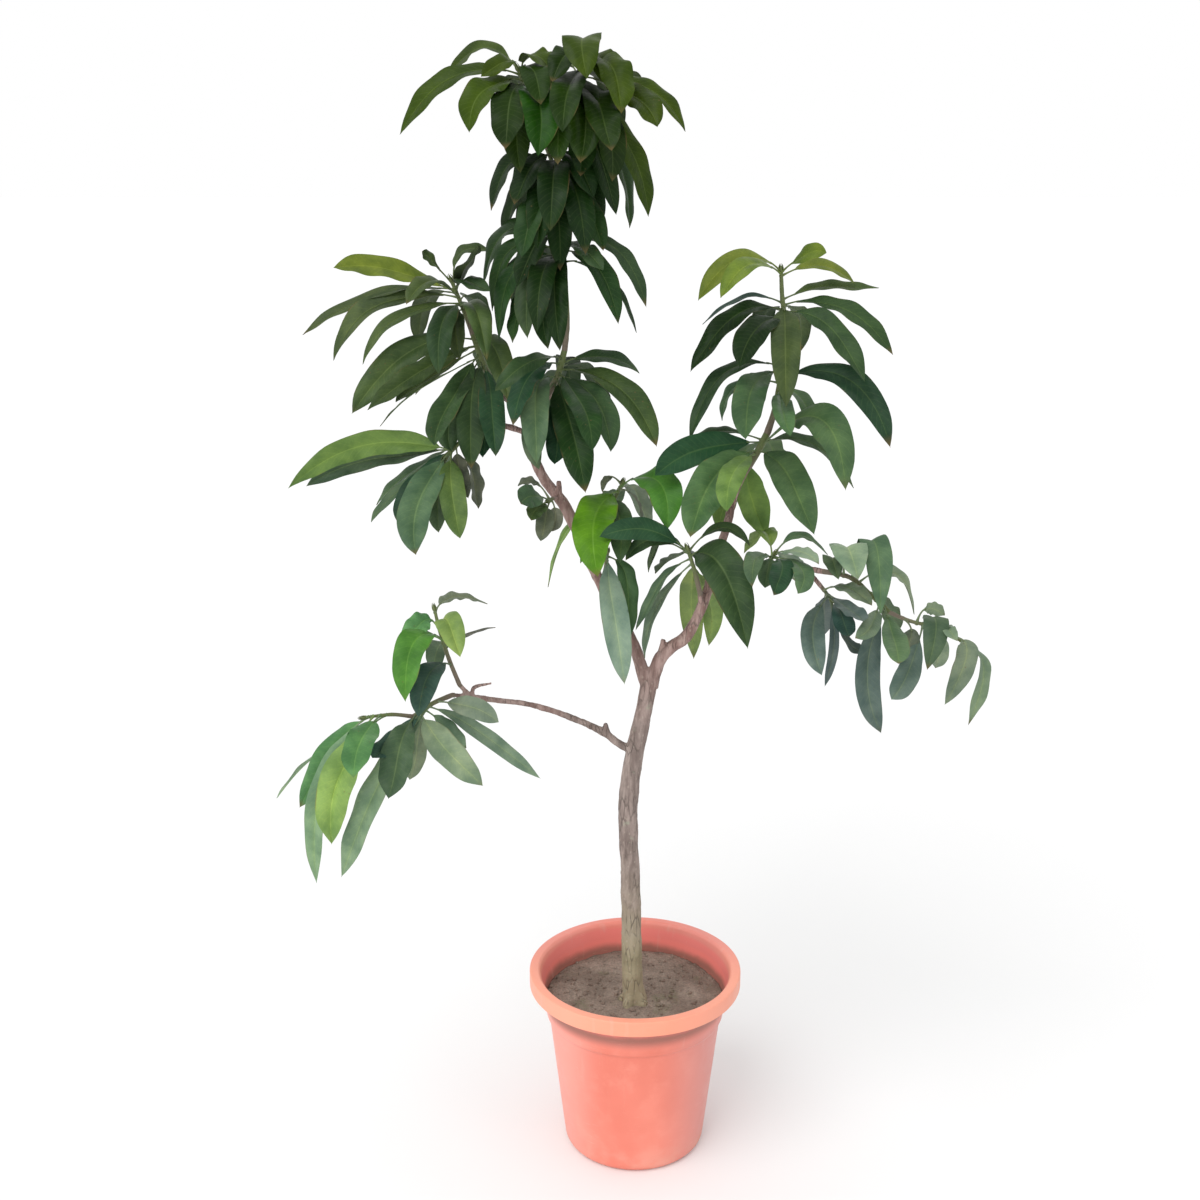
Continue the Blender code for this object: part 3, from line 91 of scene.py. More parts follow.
# Leafy shoots: what each grows from, its stem as (x, z, y) in cm beyond that point, the radius at its end in mm,
# and its leaves as (share along the stem, middle x, z, tip x, z, y in cm, width in cm, turn to the viewer).
SHOOTS = {
    "fourth_whorl": ("left_leader", [(-10.4, 111.4, 1.6), (-9.5, 114.6, 1.2)], 4.0, [
        (0.70, -4.8, 114.0, 0.0, 111.7, 1, 2.8, 0.4),
        (0.60, -2.6, 110.0, 2.3, 102.3, -4, 3.6, 0.5),
        (0.50, -5.0, 108.2, -3.6, 101.6, -8, 3.6, 0.4),
        (0.55, -7.5, 108.0, -6.0, 101.7, -12, 3.6, 0.3),
        (0.45, -8.9, 105.4, -6.9, 96.2, -5, 4.6, 0.5),
        (0.35, -10.6, 104.8, -10.9, 99.9, -4, 3.0, 0.4),
        (0.45, -13.6, 109.0, -13.2, 100.0, -8, 3.8, 0.5),
        (0.80, -13.6, 113.4, -18.4, 109.4, -11, 2.8, 0.5),
        (0.70, -13.8, 111.6, -16.2, 105.0, -8, 3.4, 0.4),
        (0.65, -6.5, 112.0, -4.0, 107.0, 14, 3.4, 0.0),
        (0.55, -11.0, 111.0, -13.0, 105.0, 14, 3.4, 0.0),
        (0.75, -9.0, 113.0, -9.0, 106.0, 16, 3.4, 0.0),
        (0.35, -13.3, 105.6, -12.9, 99.2, -6, 2.8, 0.4)]),
    "third_whorl": ("fourth_whorl", [(-9.2, 118, 1.0), (-9.4, 123, 0.9), (-9.7, 128.8, 0.8)], 3.6, [
        (0.92, -3.2, 127.2, 0.8, 120.1, -2, 2.4, 0.5),
        (0.88, -5.4, 124.9, -2.7, 118.0, -6, 3.0, 0.5),
        (0.80, -4.3, 124.0, -0.4, 116.9, 4, 1.8, 0.4),
        (0.92, -16.3, 129.6, -19.6, 123.0, 3, 3.6, 0.5),
        (0.84, -15.9, 124.5, -17.8, 116.0, -4, 3.6, 0.5),
        (0.88, -13.2, 123.6, -14.2, 116.2, -10, 3.6, 0.3),
        (0.80, -11.6, 122.0, -11.6, 114.8, -8, 3.2, 0.3),
        (0.86, -16.4, 127.0, -18.6, 119.6, -1, 3.0, 0.6),
        (0.84, -12.4, 124.4, -13.0, 116.9, -14, 3.4, 0.3),
        (0.90, -10.8, 123.4, -10.1, 114.6, -12, 3.2, 0.3),
        (0.78, -14.4, 121.6, -16.1, 115.6, -4, 3.2, 0.4),
        (0.90, -13.0, 126.0, -16.0, 120.0, 14, 3.4, 0.0),
        (0.86, -11.0, 126.0, -11.4, 120.0, 14, 3.2, 0.0),
        (0.95, -7.2, 127.6, -4.6, 124.6, -9, 2.6, 0.4),
        (0.95, -13.2, 128.4, -15.4, 122.6, -8, 3.6, 0.4)]),
    "second_whorl": ("third_whorl", [(-10.2, 133, 0.9), (-10.3, 138.6, 1.0)], 3.4, [
        (0.84, -16.2, 137.8, -18.5, 131.9, -1, 3.2, 0.5),
        (0.70, -15.2, 134.6, -17.0, 128.6, 6, 3.3, 0.3),
        (0.80, -12.6, 134.4, -12.8, 127.2, -9, 3.4, 0.3),
        (0.84, -8.0, 134.4, -6.8, 126.6, -9, 4.0, 0.3),
        (0.72, -6.4, 135.0, -5.0, 129.8, -3, 2.6, 0.6),
        (0.62, -10.2, 131.6, -10.0, 124.6, -6, 3.4, 0.3),
        (0.90, -10.8, 136.6, -11.2, 129.4, -12, 3.8, 0.3),
        (0.66, -13.4, 132.2, -14.8, 126.2, -11, 3.4, 0.4),
        (0.76, -6.4, 132.4, -4.6, 127.0, -6, 2.8, 0.4),
        (0.80, -13.0, 135.5, -15.4, 129.0, 13, 3.4, 0.0),
        (0.84, -8.0, 136.0, -6.4, 130.0, 13, 3.4, 0.0),
        (0.96, -13.6, 137.6, -15.6, 132.6, -7, 3.6, 0.4),
        (0.96, -8.0, 138.4, -5.8, 133.4, -6, 3.8, 0.4)]),
    "top_whorl": ("second_whorl", [(-9.4, 143.5, 1.0), (-6.8, 149.0, 1.0)], 2.4, [
        (1.00, -6.6, 152.4, -6.6, 147.4, -11, 4.6, 0.3),
        (0.97, -3.9, 149.2, -2.4, 143.4, -9, 4.2, 0.3),
        (0.85, -9.6, 149.4, -11.2, 146.0, 9, 3.4, 0.2),
        (0.70, -3.8, 142.4, -3.5, 135.4, -10, 3.8, 0.3),
        (0.92, 0.5, 146.8, 5.4, 141.3, -1, 3.0, 0.4),
        (0.86, -1.2, 145.8, 2.0, 141.8, -8, 3.7, 0.5),
        (0.80, -1.8, 139.8, 1.0, 131.2, -3, 3.6, 0.5),
        (0.74, -5.2, 139.4, -3.0, 131.4, -6, 3.0, 0.4),
        (0.88, -6.8, 144.4, -7.4, 137.6, -11, 4.2, 0.3),
        (0.66, -9.8, 144.0, -10.2, 137.4, -10, 3.8, 0.3),
        (0.90, -4.6, 148.0, -2.0, 142.0, 13, 3.6, 0.0),
        (0.94, -1.6, 148.2, 2.4, 143.2, 9, 3.2, 0.2),
        (0.80, -9.0, 147.0, -10.0, 141.0, 14, 3.4, 0.0),
        (1.00, -8.8, 150.6, -10.8, 147.0, -7, 3.4, 0.5),
        (0.98, -5.0, 150.2, -3.8, 146.4, -5, 3.4, 0.5),
        (0.76, -2.5, 138.4, -1.3, 129.8, 3, 3.2, 0.5),
        (0.92, -8.8, 147.0, -9.6, 141.2, -12, 4.0, 0.3),
        (0.80, -4.6, 144.6, -3.6, 139.0, -12, 4.0, 0.4),
        (0.60, -7.6, 141.4, -7.4, 136.0, -7, 3.6, 0.3)]),
    "top_left_whorl": ("second_side_stem", [(-12.6, 142.6, 0.2), (-14.8, 148.2, 0)], 2.2, [
        (0.96, -22.9, 147.8, -29.4, 141.0, -3, 3.4, 0.5),
        (1.00, -19.2, 151.2, -23.4, 148.0, 7, 2.8, 0.5),
        (0.90, -18.6, 146.4, -21.0, 141.2, -9, 3.9, 0.6),
        (0.86, -16.0, 145.2, -16.6, 139.2, -10, 4.2, 0.3),
        (0.94, -13.4, 150.4, -10.4, 147.6, -5, 3.4, 0.3),
        (0.75, -14.8, 143.0, -14.8, 136.4, -7, 3.6, 0.3),
        (0.80, -12.9, 145.4, -12.6, 138.4, -11, 4.6, 0.3),
        (0.90, -15.5, 147.0, -18.0, 141.4, 12, 3.4, 0.0),
        (0.70, -12.0, 146.0, -13.0, 140.0, 13, 3.2, 0.0),
        (0.98, -13.2, 148.8, -12.2, 144.4, -8, 3.4, 0.5),
        (1.00, -16.4, 149.6, -19.4, 147.6, -4, 2.6, 0.5)]),
    "left_lower_whorl": ("left_branch", [(-19.6, 112.2, 3.4), (-21.2, 116.8, 3.6)], 3.6, [
        (0.90, -29.6, 114.3, -36.8, 106.6, -4, 4.3, 0.7),
        (0.80, -28.2, 112.2, -34.8, 107.0, -9, 3.2, 0.6),
        (0.70, -24.5, 107.7, -26.4, 102.4, -11, 3.6, 0.3),
        (0.60, -21.8, 107.6, -21.7, 99.4, -9, 3.8, 0.5),
        (0.55, -18.7, 108.2, -18.5, 101.0, -8, 3.6, 0.4),
        (0.85, -18.7, 115.2, -16.8, 108.2, -3, 3.6, 0.5),
        (0.65, -27.6, 110.1, -33.3, 104.9, 8, 1.4, 0.1),
        (0.80, -25.0, 113.4, -28.6, 109.0, 14, 3.4, 0.0),
        (0.70, -19.4, 113.6, -18.0, 108.0, 15, 3.4, 0.0),
        (0.75, -27.2, 111.0, -31.2, 108.0, -1, 2.2, 0.5),
        (0.65, -23.6, 107.0, -24.2, 101.6, -4, 3.2, 0.5),
        (0.60, -20.2, 106.4, -20.2, 100.8, -2, 2.8, 0.5)]),
    "left_upper_whorl": ("left_lower_whorl", [(-22.2, 119.6, 3.4), (-23.6, 123.2, 3.0)], 2.4, [
        (0.80, -31.4, 124.6, -38.3, 124.9, -3, 3.6, 0.6),
        (0.85, -34.0, 121.4, -42.6, 116.6, 4, 2.4, 0.4),
        (0.70, -32.6, 120.6, -38.9, 113.4, 0, 3.8, 0.5),
        (0.60, -30.4, 119.0, -35.2, 112.9, -4, 2.6, 0.4),
        (0.90, -22.4, 126.8, -18.6, 126.9, 8, 2.0, 0.4),
        (0.80, -21.8, 125.2, -20.2, 127.6, -6, 2.6, 0.5),
        (0.70, -26.4, 123.4, -29.4, 120.4, -9, 2.8, 0.4),
        (0.55, -24.6, 118.8, -25.6, 111.6, -7, 3.4, 0.4),
        (0.95, -25.8, 125.4, -27.2, 126.9, 2, 1.8, 0.5),
        (0.50, -21.0, 120.2, -19.4, 113.4, -7, 3.0, 0.4),
        (0.75, -26.6, 121.0, -28.0, 115.4, 14, 3.4, 0.0),
        (0.65, -20.6, 121.0, -19.0, 115.0, 14, 3.2, 0.0),
        (0.85, -21.6, 123.6, -18.8, 122.0, -6, 2.6, 0.4),
        (0.50, -23.2, 118.4, -22.9, 113.4, -2, 2.6, 0.5)]),
    "left_hanging_whorl": ("left_twig", [(-21.4, 104.2, -1.8), (-24.8, 101.0, -2.8)], 2.4, [
        (0.90, -34.6, 102.3, -45.5, 96.8, -4, 3.5, 0.8),
        (0.95, -28.2, 95.6, -29.3, 87.8, -9, 4.6, 0.5),
        (0.80, -30.0, 98.9, -34.2, 94.5, 4, 2.4, 0.4),
        (0.85, -30.8, 96.8, -35.0, 92.2, 0, 1.8, 0.4),
        (0.75, -28.8, 97.4, -31.6, 92.3, -3, 3.7, 0.5),
        (0.90, -24.4, 96.2, -23.4, 90.0, -7, 3.4, 0.5),
        (0.70, -21.5, 98.6, -20.9, 94.0, 3, 3.2, 0.5),
        (0.85, -26.0, 98.4, -27.6, 93.0, 10, 3.2, 0.0),
        (0.88, -34.4, 100.6, -43.2, 97.0, 1, 3.0, 0.7),
        (0.92, -26.2, 96.6, -26.2, 90.8, -3, 3.0, 0.4),
        (0.80, -23.2, 99.6, -22.2, 95.4, -3, 2.4, 0.4)]),
    "limb_sprig": ("sprig_twig", [(-11.8, 95.0, -2.6)], 1.8, [
        (0.60, -13.6, 97.6, -15.7, 97.0, -5, 1.6, 0.4),
        (0.80, -13.5, 95.6, -15.3, 94.6, -9, 3.2, 0.8),
        (0.50, -12.2, 92.8, -12.8, 89.6, -5, 2.4, 0.6),
        (0.70, -12.8, 94.2, -14.0, 92.4, -7, 2.2, 0.6),
        (0.40, -10.9, 93.6, -11.3, 90.9, -3, 2.0, 0.6)]),
    "centre_whorl": ("centre_twig", [(-3.8, 93.6, 4.4), (-2.2, 97.2, 3.4)], 2.2, [
        (0.85, -5.7, 93.0, -5.3, 84.8, -8, 5.4, 0.4),
        (0.95, 2.0, 97.9, 3.8, 91.2, -3, 5.0, 0.5),
        (1.00, -3.8, 98.2, -4.7, 96.2, 1, 1.2, 0.3),
        (0.90, -0.3, 95.4, 0.5, 92.2, 8, 1.2, 0.3),
        (0.70, -2.8, 93.0, -2.4, 86.6, -6, 3.4, 0.7),
        (0.75, -8.8, 92.0, -11.9, 83.4, 6, 2.5, 0.2),
        (0.80, -3.0, 96.0, -4.0, 91.0, 15, 3.2, 0.0),
        (0.90, 0.0, 96.4, 1.6, 91.6, 15, 3.2, 0.0)]),
    "centre_low_whorl": ("centre_low_twig", [(-4.0, 88.0, -1.2)], 2.0, [
        (0.90, -3.3, 80.6, -1.7, 69.8, -6, 3.5, 0.7),
        (0.80, -1.2, 84.2, -1.1, 76.0, -2, 2.8, 0.6),
        (0.60, -5.8, 88.4, -7.6, 86.6, -2, 1.2, 0.5)]),
    "inner_whorl": ("inner_twig", [(7.5, 85.6, -1.6), (6.6, 88.4, -2.6)], 2.2, [
        (0.90, 1.2, 91.4, -5.0, 90.2, -7, 3.0, 0.8),
        (0.80, 10.7, 86.5, 14.8, 74.9, -8, 5.4, 0.8),
        (0.60, 7.3, 82.6, 7.6, 73.4, 9, 3.4, 0.0),
        (0.50, 9.2, 82.1, 9.6, 75.2, 12, 3.2, 0.0),
        (0.75, 2.7, 83.8, -0.2, 77.4, -4, 1.8, 0.3),
        (0.65, 2.4, 80.6, 1.0, 73.4, -2, 2.0, 0.4),
        (0.95, 10.9, 91.5, 14.7, 89.0, -1, 1.9, 0.4),
        (0.90, 4.3, 87.6, 2.3, 85.2, 8, 3.0, 0.4),
        (0.85, 3.2, 89.8, 1.4, 85.4, 6, 1.8, 0.3),
        (0.80, 8.6, 87.2, 11.0, 82.0, 9, 3.2, 0.0),
        (0.88, 1.8, 89.8, -1.6, 87.0, -4, 2.0, 0.6)]),
    "right_lower_whorl": ("right_limb", [(15.2, 101.2, 2.2), (16.6, 104.0, 1.8)], 4.6, [
        (0.60, 22.8, 106.0, 27.0, 96.6, -7, 5.2, 0.6),
        (0.70, 22.3, 103.0, 28.0, 96.8, 3, 2.4, 0.4),
        (0.55, 19.9, 98.9, 23.1, 90.6, -4, 4.8, 0.7),
        (0.80, 10.4, 104.2, 6.6, 102.6, 8, 2.5, 0.3),
        (0.75, 8.4, 101.9, 2.2, 98.4, -3, 4.2, 0.8),
        (0.60, 9.4, 98.0, 6.9, 90.2, -8, 5.0, 0.6),
        (0.50, 12.6, 99.0, 11.6, 93.6, -10, 3.4, 0.4),
        (0.40, 14.3, 96.2, 16.9, 90.2, 7, 4.5, 0.8),
        (0.35, 11.6, 96.6, 10.4, 91.4, 6, 3.2, 0.7),
        (0.85, 17.6, 101.8, 19.6, 97.0, 15, 3.4, 0.0),
        (0.75, 13.4, 101.6, 11.6, 98.0, 15, 3.4, 0.0)]),
    "right_middle_whorl": ("right_lower_whorl", [(17.7, 108, 1.4), (18.3, 113.4, 1.2)], 4.0, [
        (0.75, 26.2, 110.9, 32.5, 102.2, -3, 3.8, 0.7),
        (0.85, 14.0, 109.8, 13.8, 103.2, -10, 4.2, 0.5),
        (0.90, 10.6, 111.9, 6.6, 103.0, 0, 2.5, 0.4),
        (0.70, 12.4, 110.2, 10.7, 105.6, 7, 2.2, 0.4),
        (0.65, 21.0, 108.6, 22.6, 104.0, 12, 3.0, 0.0),
        (0.80, 15.4, 111.4, 13.8, 106.8, 15, 3.4, 0.0),
        (0.60, 18.6, 107.6, 19.6, 103.6, -12, 2.8, 0.3)]),
    "right_top_whorl": ("right_middle_whorl", [
        (18.4, 117.5, 1.1), (17.9, 121.6, 1.2), (17.7, 124.4, 1.2)], 2.4, [
        (1.00, 12.7, 126.0, 7.4, 120.9, 0, 3.2, 0.5),
        (0.96, 13.4, 125.4, 10.2, 121.2, -7, 3.0, 0.5),
        (0.98, 20.5, 126.3, 23.3, 126.7, -3, 2.2, 0.7),
        (0.92, 23.1, 125.3, 27.0, 122.9, 4, 2.4, 0.5),
        (0.57, 12.9, 121.2, 8.0, 117.9, 5, 1.5, 0.3),
        (0.50, 11.9, 118.9, 6.6, 112.0, -2, 3.2, 0.5),
        (0.43, 15.0, 117.4, 12.8, 112.5, -8, 4.0, 0.5),
        (0.53, 18.6, 116.4, 18.9, 107.4, -10, 3.9, 0.3),
        (0.61, 23.8, 122.7, 30.0, 122.4, 5, 2.3, 0.4),
        (0.55, 25.8, 120.2, 32.2, 114.1, 0, 3.0, 0.5),
        (0.48, 24.2, 117.7, 28.8, 110.7, -6, 3.4, 0.6),
        (0.47, 15.6, 119.4, 14.4, 115.0, 14, 3.4, 0.0),
        (0.53, 20.5, 119.2, 20.6, 114.6, 14, 2.8, 0.0)]),
    "right_low_first_whorl": ("right_low_twig", [(18.0, 87.8, -3.2)], 2.2, [
        (0.80, 21.3, 90.4, 25.0, 87.8, 1, 1.8, 0.3),
        (0.90, 20.8, 88.3, 23.9, 86.5, -9, 2.0, 0.5),
        (0.60, 19.4, 85.8, 18.1, 82.2, -13, 2.8, 0.5),
        (0.70, 21.8, 85.8, 21.3, 82.4, -12, 2.6, 0.5),
        (0.50, 15.7, 87.6, 15.2, 83.4, -13, 2.6, 0.4),
        (0.65, 16.4, 91.0, 14.0, 88.0, 7, 3.2, 0.3),
        (0.85, 19.6, 87.6, 20.8, 84.2, 8, 3.0, 0.0),
        (0.55, 17.4, 86.4, 16.9, 83.2, -8, 2.4, 0.5)]),
    "right_low_under_whorl": ("right_under_twig", [(25.6, 81.8, -0.6)], 2.0, [
        (0.80, 23.4, 77.2, 24.9, 71.0, -9, 3.1, 0.6),
        (0.90, 26.4, 75.6, 25.4, 69.4, -2, 1.3, 0.4),
        (0.60, 28.2, 80.4, 30.2, 78.6, -11, 2.4, 0.6),
        (1.00, 28.6, 75.3, 31.0, 75.2, 0, 1.7, 0.4),
        (0.50, 24.6, 79.8, 24.2, 76.0, 9, 2.4, 0.3),
        (0.90, 27.4, 79.4, 28.4, 76.4, -7, 2.6, 0.6),
        (0.30, 27.6, 83.3, 31.2, 80.8, -6, 2.3, 0.4)]),
    "right_low_whorl": ("right_low_branch", [
        (28.2, 84.6, -1.8), (31.0, 82.2, -2.2), (33.6, 79.8, -2.6)], 2.6, [
        (0.25, 27.6, 89.1, 29.2, 84.4, -10, 4.4, 0.4),
        (0.35, 30.9, 90.0, 32.4, 79.6, -8, 3.7, 0.3),
        (0.45, 34.1, 85.5, 36.9, 79.6, 2, 2.4, 0.4),
        (0.92, 31.3, 71.8, 33.3, 62.7, -7, 3.1, 0.7),
        (0.80, 31.2, 78.4, 29.2, 76.2, -11, 2.2, 0.6),
        (0.88, 34.4, 76.4, 35.2, 72.6, -13, 3.0, 0.5),
        (0.60, 33.0, 81.0, 34.6, 77.0, 8, 3.0, 0.0),
        (0.15, 25.8, 87.6, 26.6, 84.4, -6, 2.6, 0.4)]),
    "right_low_end_whorl": ("right_low_whorl", [
        (36.4, 78.6, -2.9), (40.0, 77.6, -3.0), (43.4, 75.8, -3.2)], 1.8, [
        (0.50, 36.7, 72.1, 34.5, 67.5, -9, 3.0, 0.9),
        (0.55, 39.6, 78.7, 39.1, 71.8, -11, 3.1, 0.3),
        (0.70, 41.4, 77.9, 42.9, 75.8, -11, 1.7, 0.5),
        (0.90, 44.3, 73.8, 41.8, 66.8, -9, 2.7, 0.8),
        (1.00, 46.8, 71.7, 45.2, 63.9, -2, 2.5, 0.7),
        (0.65, 40.1, 75.4, 40.2, 72.0, 5, 2.6, 0.0),
        (0.42, 38.6, 80.4, 41.0, 79.4, -5, 1.9, 0.5),
        (0.25, 36.7, 77.0, 35.9, 74.6, -5, 2.2, 0.5)]),
    "low_upper_whorl": ("low_upper_twig", [
        (-25.3, 73.2, -2), (-26.4, 77.0, -2.2), (-27.0, 80.0, -2.4)], 2.0, [
        (0.57, -29.5, 75.9, -31.4, 67.3, -10, 4.0, 0.5),
        (0.63, -25.6, 79.0, -23.8, 73.6, -9, 3.4, 0.6),
        (0.27, -27.9, 71.4, -29.7, 65.0, -9, 3.3, 0.6),
        (0.98, -24.4, 82.0, -20.0, 81.0, 3, 2.2, 0.3),
        (0.53, -22.4, 76.8, -19.0, 77.7, 6, 0.9, 0.2),
        (0.57, -29.4, 76.6, -32.4, 74.4, 6, 1.2, 0.3),
        (0.50, -26.4, 75.4, -27.4, 70.6, 10, 3.0, 0.0),
        (0.67, -28.6, 79.0, -31.5, 75.4, -4, 3.2, 0.5)]),
    "low_middle_whorl": ("low_lower_twig", [(-27.7, 66.9, -2.6), (-30.4, 65.0, -3.0)], 2.8, [
        (0.80, -26.5, 60.9, -21.2, 54.9, -9, 3.7, 0.9),
        (0.60, -21.3, 62.8, -13.3, 56.0, -4, 2.2, 0.7),
        (0.40, -23.2, 66.4, -18.8, 64.2, -8, 2.8, 0.7),
        (0.90, -32.8, 60.2, -34.2, 53.0, -12, 4.2, 0.7),
        (0.50, -36.1, 54.8, -41.2, 41.2, -9, 3.5, 0.6),
        (0.70, -30.4, 60.6, -31.2, 55.8, 7, 3.0, 0.0),
        (0.70, -26.0, 63.7, -23.3, 60.4, -3, 2.4, 0.6),
        (0.55, -33.4, 61.6, -36.2, 59.0, -9, 2.6, 0.5)]),
    "low_end_whorl": ("low_middle_whorl", [(-33.3, 65.3, -3.2), (-36.8, 64.9, -3.4)], 1.8, [
        (0.70, -37.7, 61.4, -38.9, 56.1, -14, 3.6, 0.6),
        (0.95, -42.1, 59.9, -46.5, 51.7, 0, 3.5, 0.7),
        (0.90, -43.4, 60.1, -49.6, 53.1, 6, 1.9, 0.2),
        (1.00, -43.8, 54.4, -44.8, 40.3, -5, 2.9, 0.8),
        (0.85, -40.4, 56.5, -42.4, 46.2, -9, 4.4, 0.8),
        (0.60, -38.8, 60.8, -39.6, 55.8, 6, 3.0, 0.0)]),
}

# A second stem that forks off a shoot's own: the shoot, then (x, z, y) in cm and the radius in mm
SIDE_STEMS = {"second_side_stem": ("second_whorl", [(-10.2, 135.8, 0.95, 2.9), (-11.5, 139.2, 0.4, 2.6)])}

# One letter a leaf, in the order of its shoot's rows: see TONE. The letters follow how light or dark each leaf looks,
# so besides the leaf's own colour they hold painted light and shade: yellowish-olive letters on lit leaves at the left
# and right, the darkest on leaves in the shade of others.
LEAF_TONES = {
    "fourth_whorl": "fqfddtbftfddb",
    "third_whorl": "fddddfddkkdkkfk",
    "second_whorl": "kdkkkkkddkkkk",
    "top_whorl": "ooeeoookeeeoeeodeek",
    "top_left_whorl": "oooeoejejeo",
    "left_lower_whorl": "qqfftqqqfqft",
    "left_upper_whorl": "yqqqqqqfqqqffq",
    "left_hanging_whorl": "hbbbthnbbbn",
    "limb_sprig": "nbnqn",
    "centre_whorl": "lvnnfwgc",
    "centre_low_whorl": "pgv",
    "inner_whorl": "tfwwbcffbtf",
    "right_lower_whorl": "gbgftghwhgg",
    "right_middle_whorl": "tgfbgfg",
    "right_top_whorl": "yyyyxkkqqffkq",
    "right_low_first_whorl": "bctbbwcb",
    "right_low_under_whorl": "sssssxc",
    "right_low_whorl": "cbcscbbb",
    "right_low_end_whorl": "sbcccccn",
    "low_upper_whorl": "vwxcnvbr",
    "low_middle_whorl": "cccbzczx",
    "low_end_whorl": "rrzzwr",
}
TONE = {
    "k": (0.007, 0.024, 0.004),
    "d": (0.014, 0.041, 0.010),
    "e": (0.011, 0.030, 0.001),
    "o": (0.030, 0.056, 0.001),
    "j": (0.010, 0.050, 0.001),
    "t": (0.018, 0.055, 0.026),
    "f": (0.030, 0.062, 0.024),
    "q": (0.046, 0.074, 0.024),
    "b": (0.066, 0.116, 0.062),
    "x": (0.036, 0.074, 0.060),
    "s": (0.088, 0.125, 0.118),
    "n": (0.105, 0.118, 0.085),
    "g": (0.056, 0.112, 0.046),
    "h": (0.100, 0.172, 0.046),
    "y": (0.110, 0.152, 0.022),
    "v": (0.060, 0.190, 0.030),
    "r": (0.085, 0.215, 0.078),
    "l": (0.090, 0.220, 0.010),
    "w": (0.160, 0.265, 0.070),
    "c": (0.158, 0.214, 0.148),
    "z": (0.192, 0.300, 0.185),
    "p": (0.140, 0.215, 0.160),
}

# Leaf blades
PETIOLE = 0.017
MID_DEPTH = 0.62
LEAF_FOLD = 0.10
BLADE_RINGS = 30
COLUMNS = 10
OUTLINE = ((0, 0.07), (0.06, 0.36), (0.18, 0.74), (0.32, 0.94), (0.50, 1.0), (0.66, 0.97), (0.78, 0.86),
           (0.87, 0.66), (0.93, 0.42), (0.975, 0.18), (1.0, 0.03))
BLADE_THICKNESS = 0.0005
RIB_HEIGHT = 0.0009
VEINS = 17
TURN_AT_STEM = 0.45
EDGE_ANGLE = math.radians(70)


def lean(x, z):
    """The depth in cm that the lean of the branches adds at (x, z) on the sheet."""
    return sum(depth * math.exp(-((x - mid_x) ** 2 + (z - mid_z) ** 2) / reach ** 2)
               for mid_x, mid_z, reach, depth in LEANS)


def behind(x, z, y):
    """The point seen at (x, z) cm on the sheet, at depth y cm and its lean along the same line of sight."""
    seen = Vector((x * CM, 0, z * CM))
    return EYE + (seen - EYE) * (((y + lean(x, z)) * CM - EYE.y) / -EYE.y)


def depth_of(point):
    """The depth in cm, without the lean, of a point in the tree."""
    seen = EYE + (point - EYE) * (-EYE.y / (point.y - EYE.y))
    return point.y / CM - lean(seen.x / CM, seen.z / CM)


def smooth_path(points, steps):
    """Points on a smooth curve through the given ones."""
    path = []
    for i in range(len(points) - 1):
        a = points[max(i - 1, 0)]
        b = points[i]
        c = points[i + 1]
        d = points[min(i + 2, len(points) - 1)]
        for k in range(steps):
            t = k / steps
            path.append(0.5 * (2 * b + (c - a) * t + (2 * a - 5 * b + 4 * c - d) * t ** 2
                               + (3 * b - a - 3 * c + d) * t ** 3))
    path.append(points[-1])
    return path


def rough(point, scale, seed=0.0):
    """Smooth noise from -1 to 1."""
    return noise.noise(Vector(point) * scale + Vector((seed * 7.3, seed * 3.1, seed * 5.7)))


class Piece:
    """Corners, faces and values of a mesh that is put together from skins."""

    def __init__(self):
        self.corners = []
        self.faces = []
        self.slots = []
        self.values = {"blade": [], "tone": [], "seed": []}

    def add(self, corners, faces, slot=0, blade=None, tone=(0, 0, 0), seed=0.0):
        start = len(self.corners)
        self.corners += [tuple(c) for c in corners]
        self.faces += [tuple(start + k for k in face) for face in faces]
        self.slots += [slot] * len(faces)
        self.values["blade"] += blade if blade else [(0, 0, 0)] * len(corners)
        self.values["tone"] += [tone] * len(corners)
        self.values["seed"] += [seed] * len(corners)

    def build(self, name, looks):
        mesh = bpy.data.meshes.new(name)
        mesh.from_pydata(self.corners, [], self.faces)
        for look in looks:
            mesh.materials.append(look)
        mesh.polygons.foreach_set("material_index", self.slots)
        for key in ("blade", "tone"):
            held = mesh.attributes.new(key, "FLOAT_VECTOR", "POINT")
            held.data.foreach_set("vector", np.array(self.values[key], np.float32).ravel())
        held = mesh.attributes.new("seed", "FLOAT", "POINT")
        held.data.foreach_set("value", self.values["seed"])
        mesh.shade_smooth()
        return link_object(name, mesh)


def link_object(name, mesh):
    thing = bpy.data.objects.new(name, mesh)
    bpy.context.scene.collection.objects.link(thing)
    return thing


def skin(rings, tip=None, closed_start=True):
    """Corners and faces of the closed skin over the rings. It ends in a point if tip is given."""
    count = len(rings[0])
    corners = [corner for ring in rings for corner in ring]
    faces = [tuple(reversed(range(count)))] if closed_start else []
    for i in range(len(rings) - 1):
        for k in range(count):
            here = i * count + k
            beside = i * count + (k + 1) % count
            faces.append((here, beside, beside + count, here + count))
    last = (len(rings) - 1) * count
    if tip is None:
        faces.append(tuple(range(last, last + count)))
    else:
        corners.append(tip)
        faces += [(last + k, last + (k + 1) % count, len(corners) - 1) for k in range(count)]
    return corners, faces


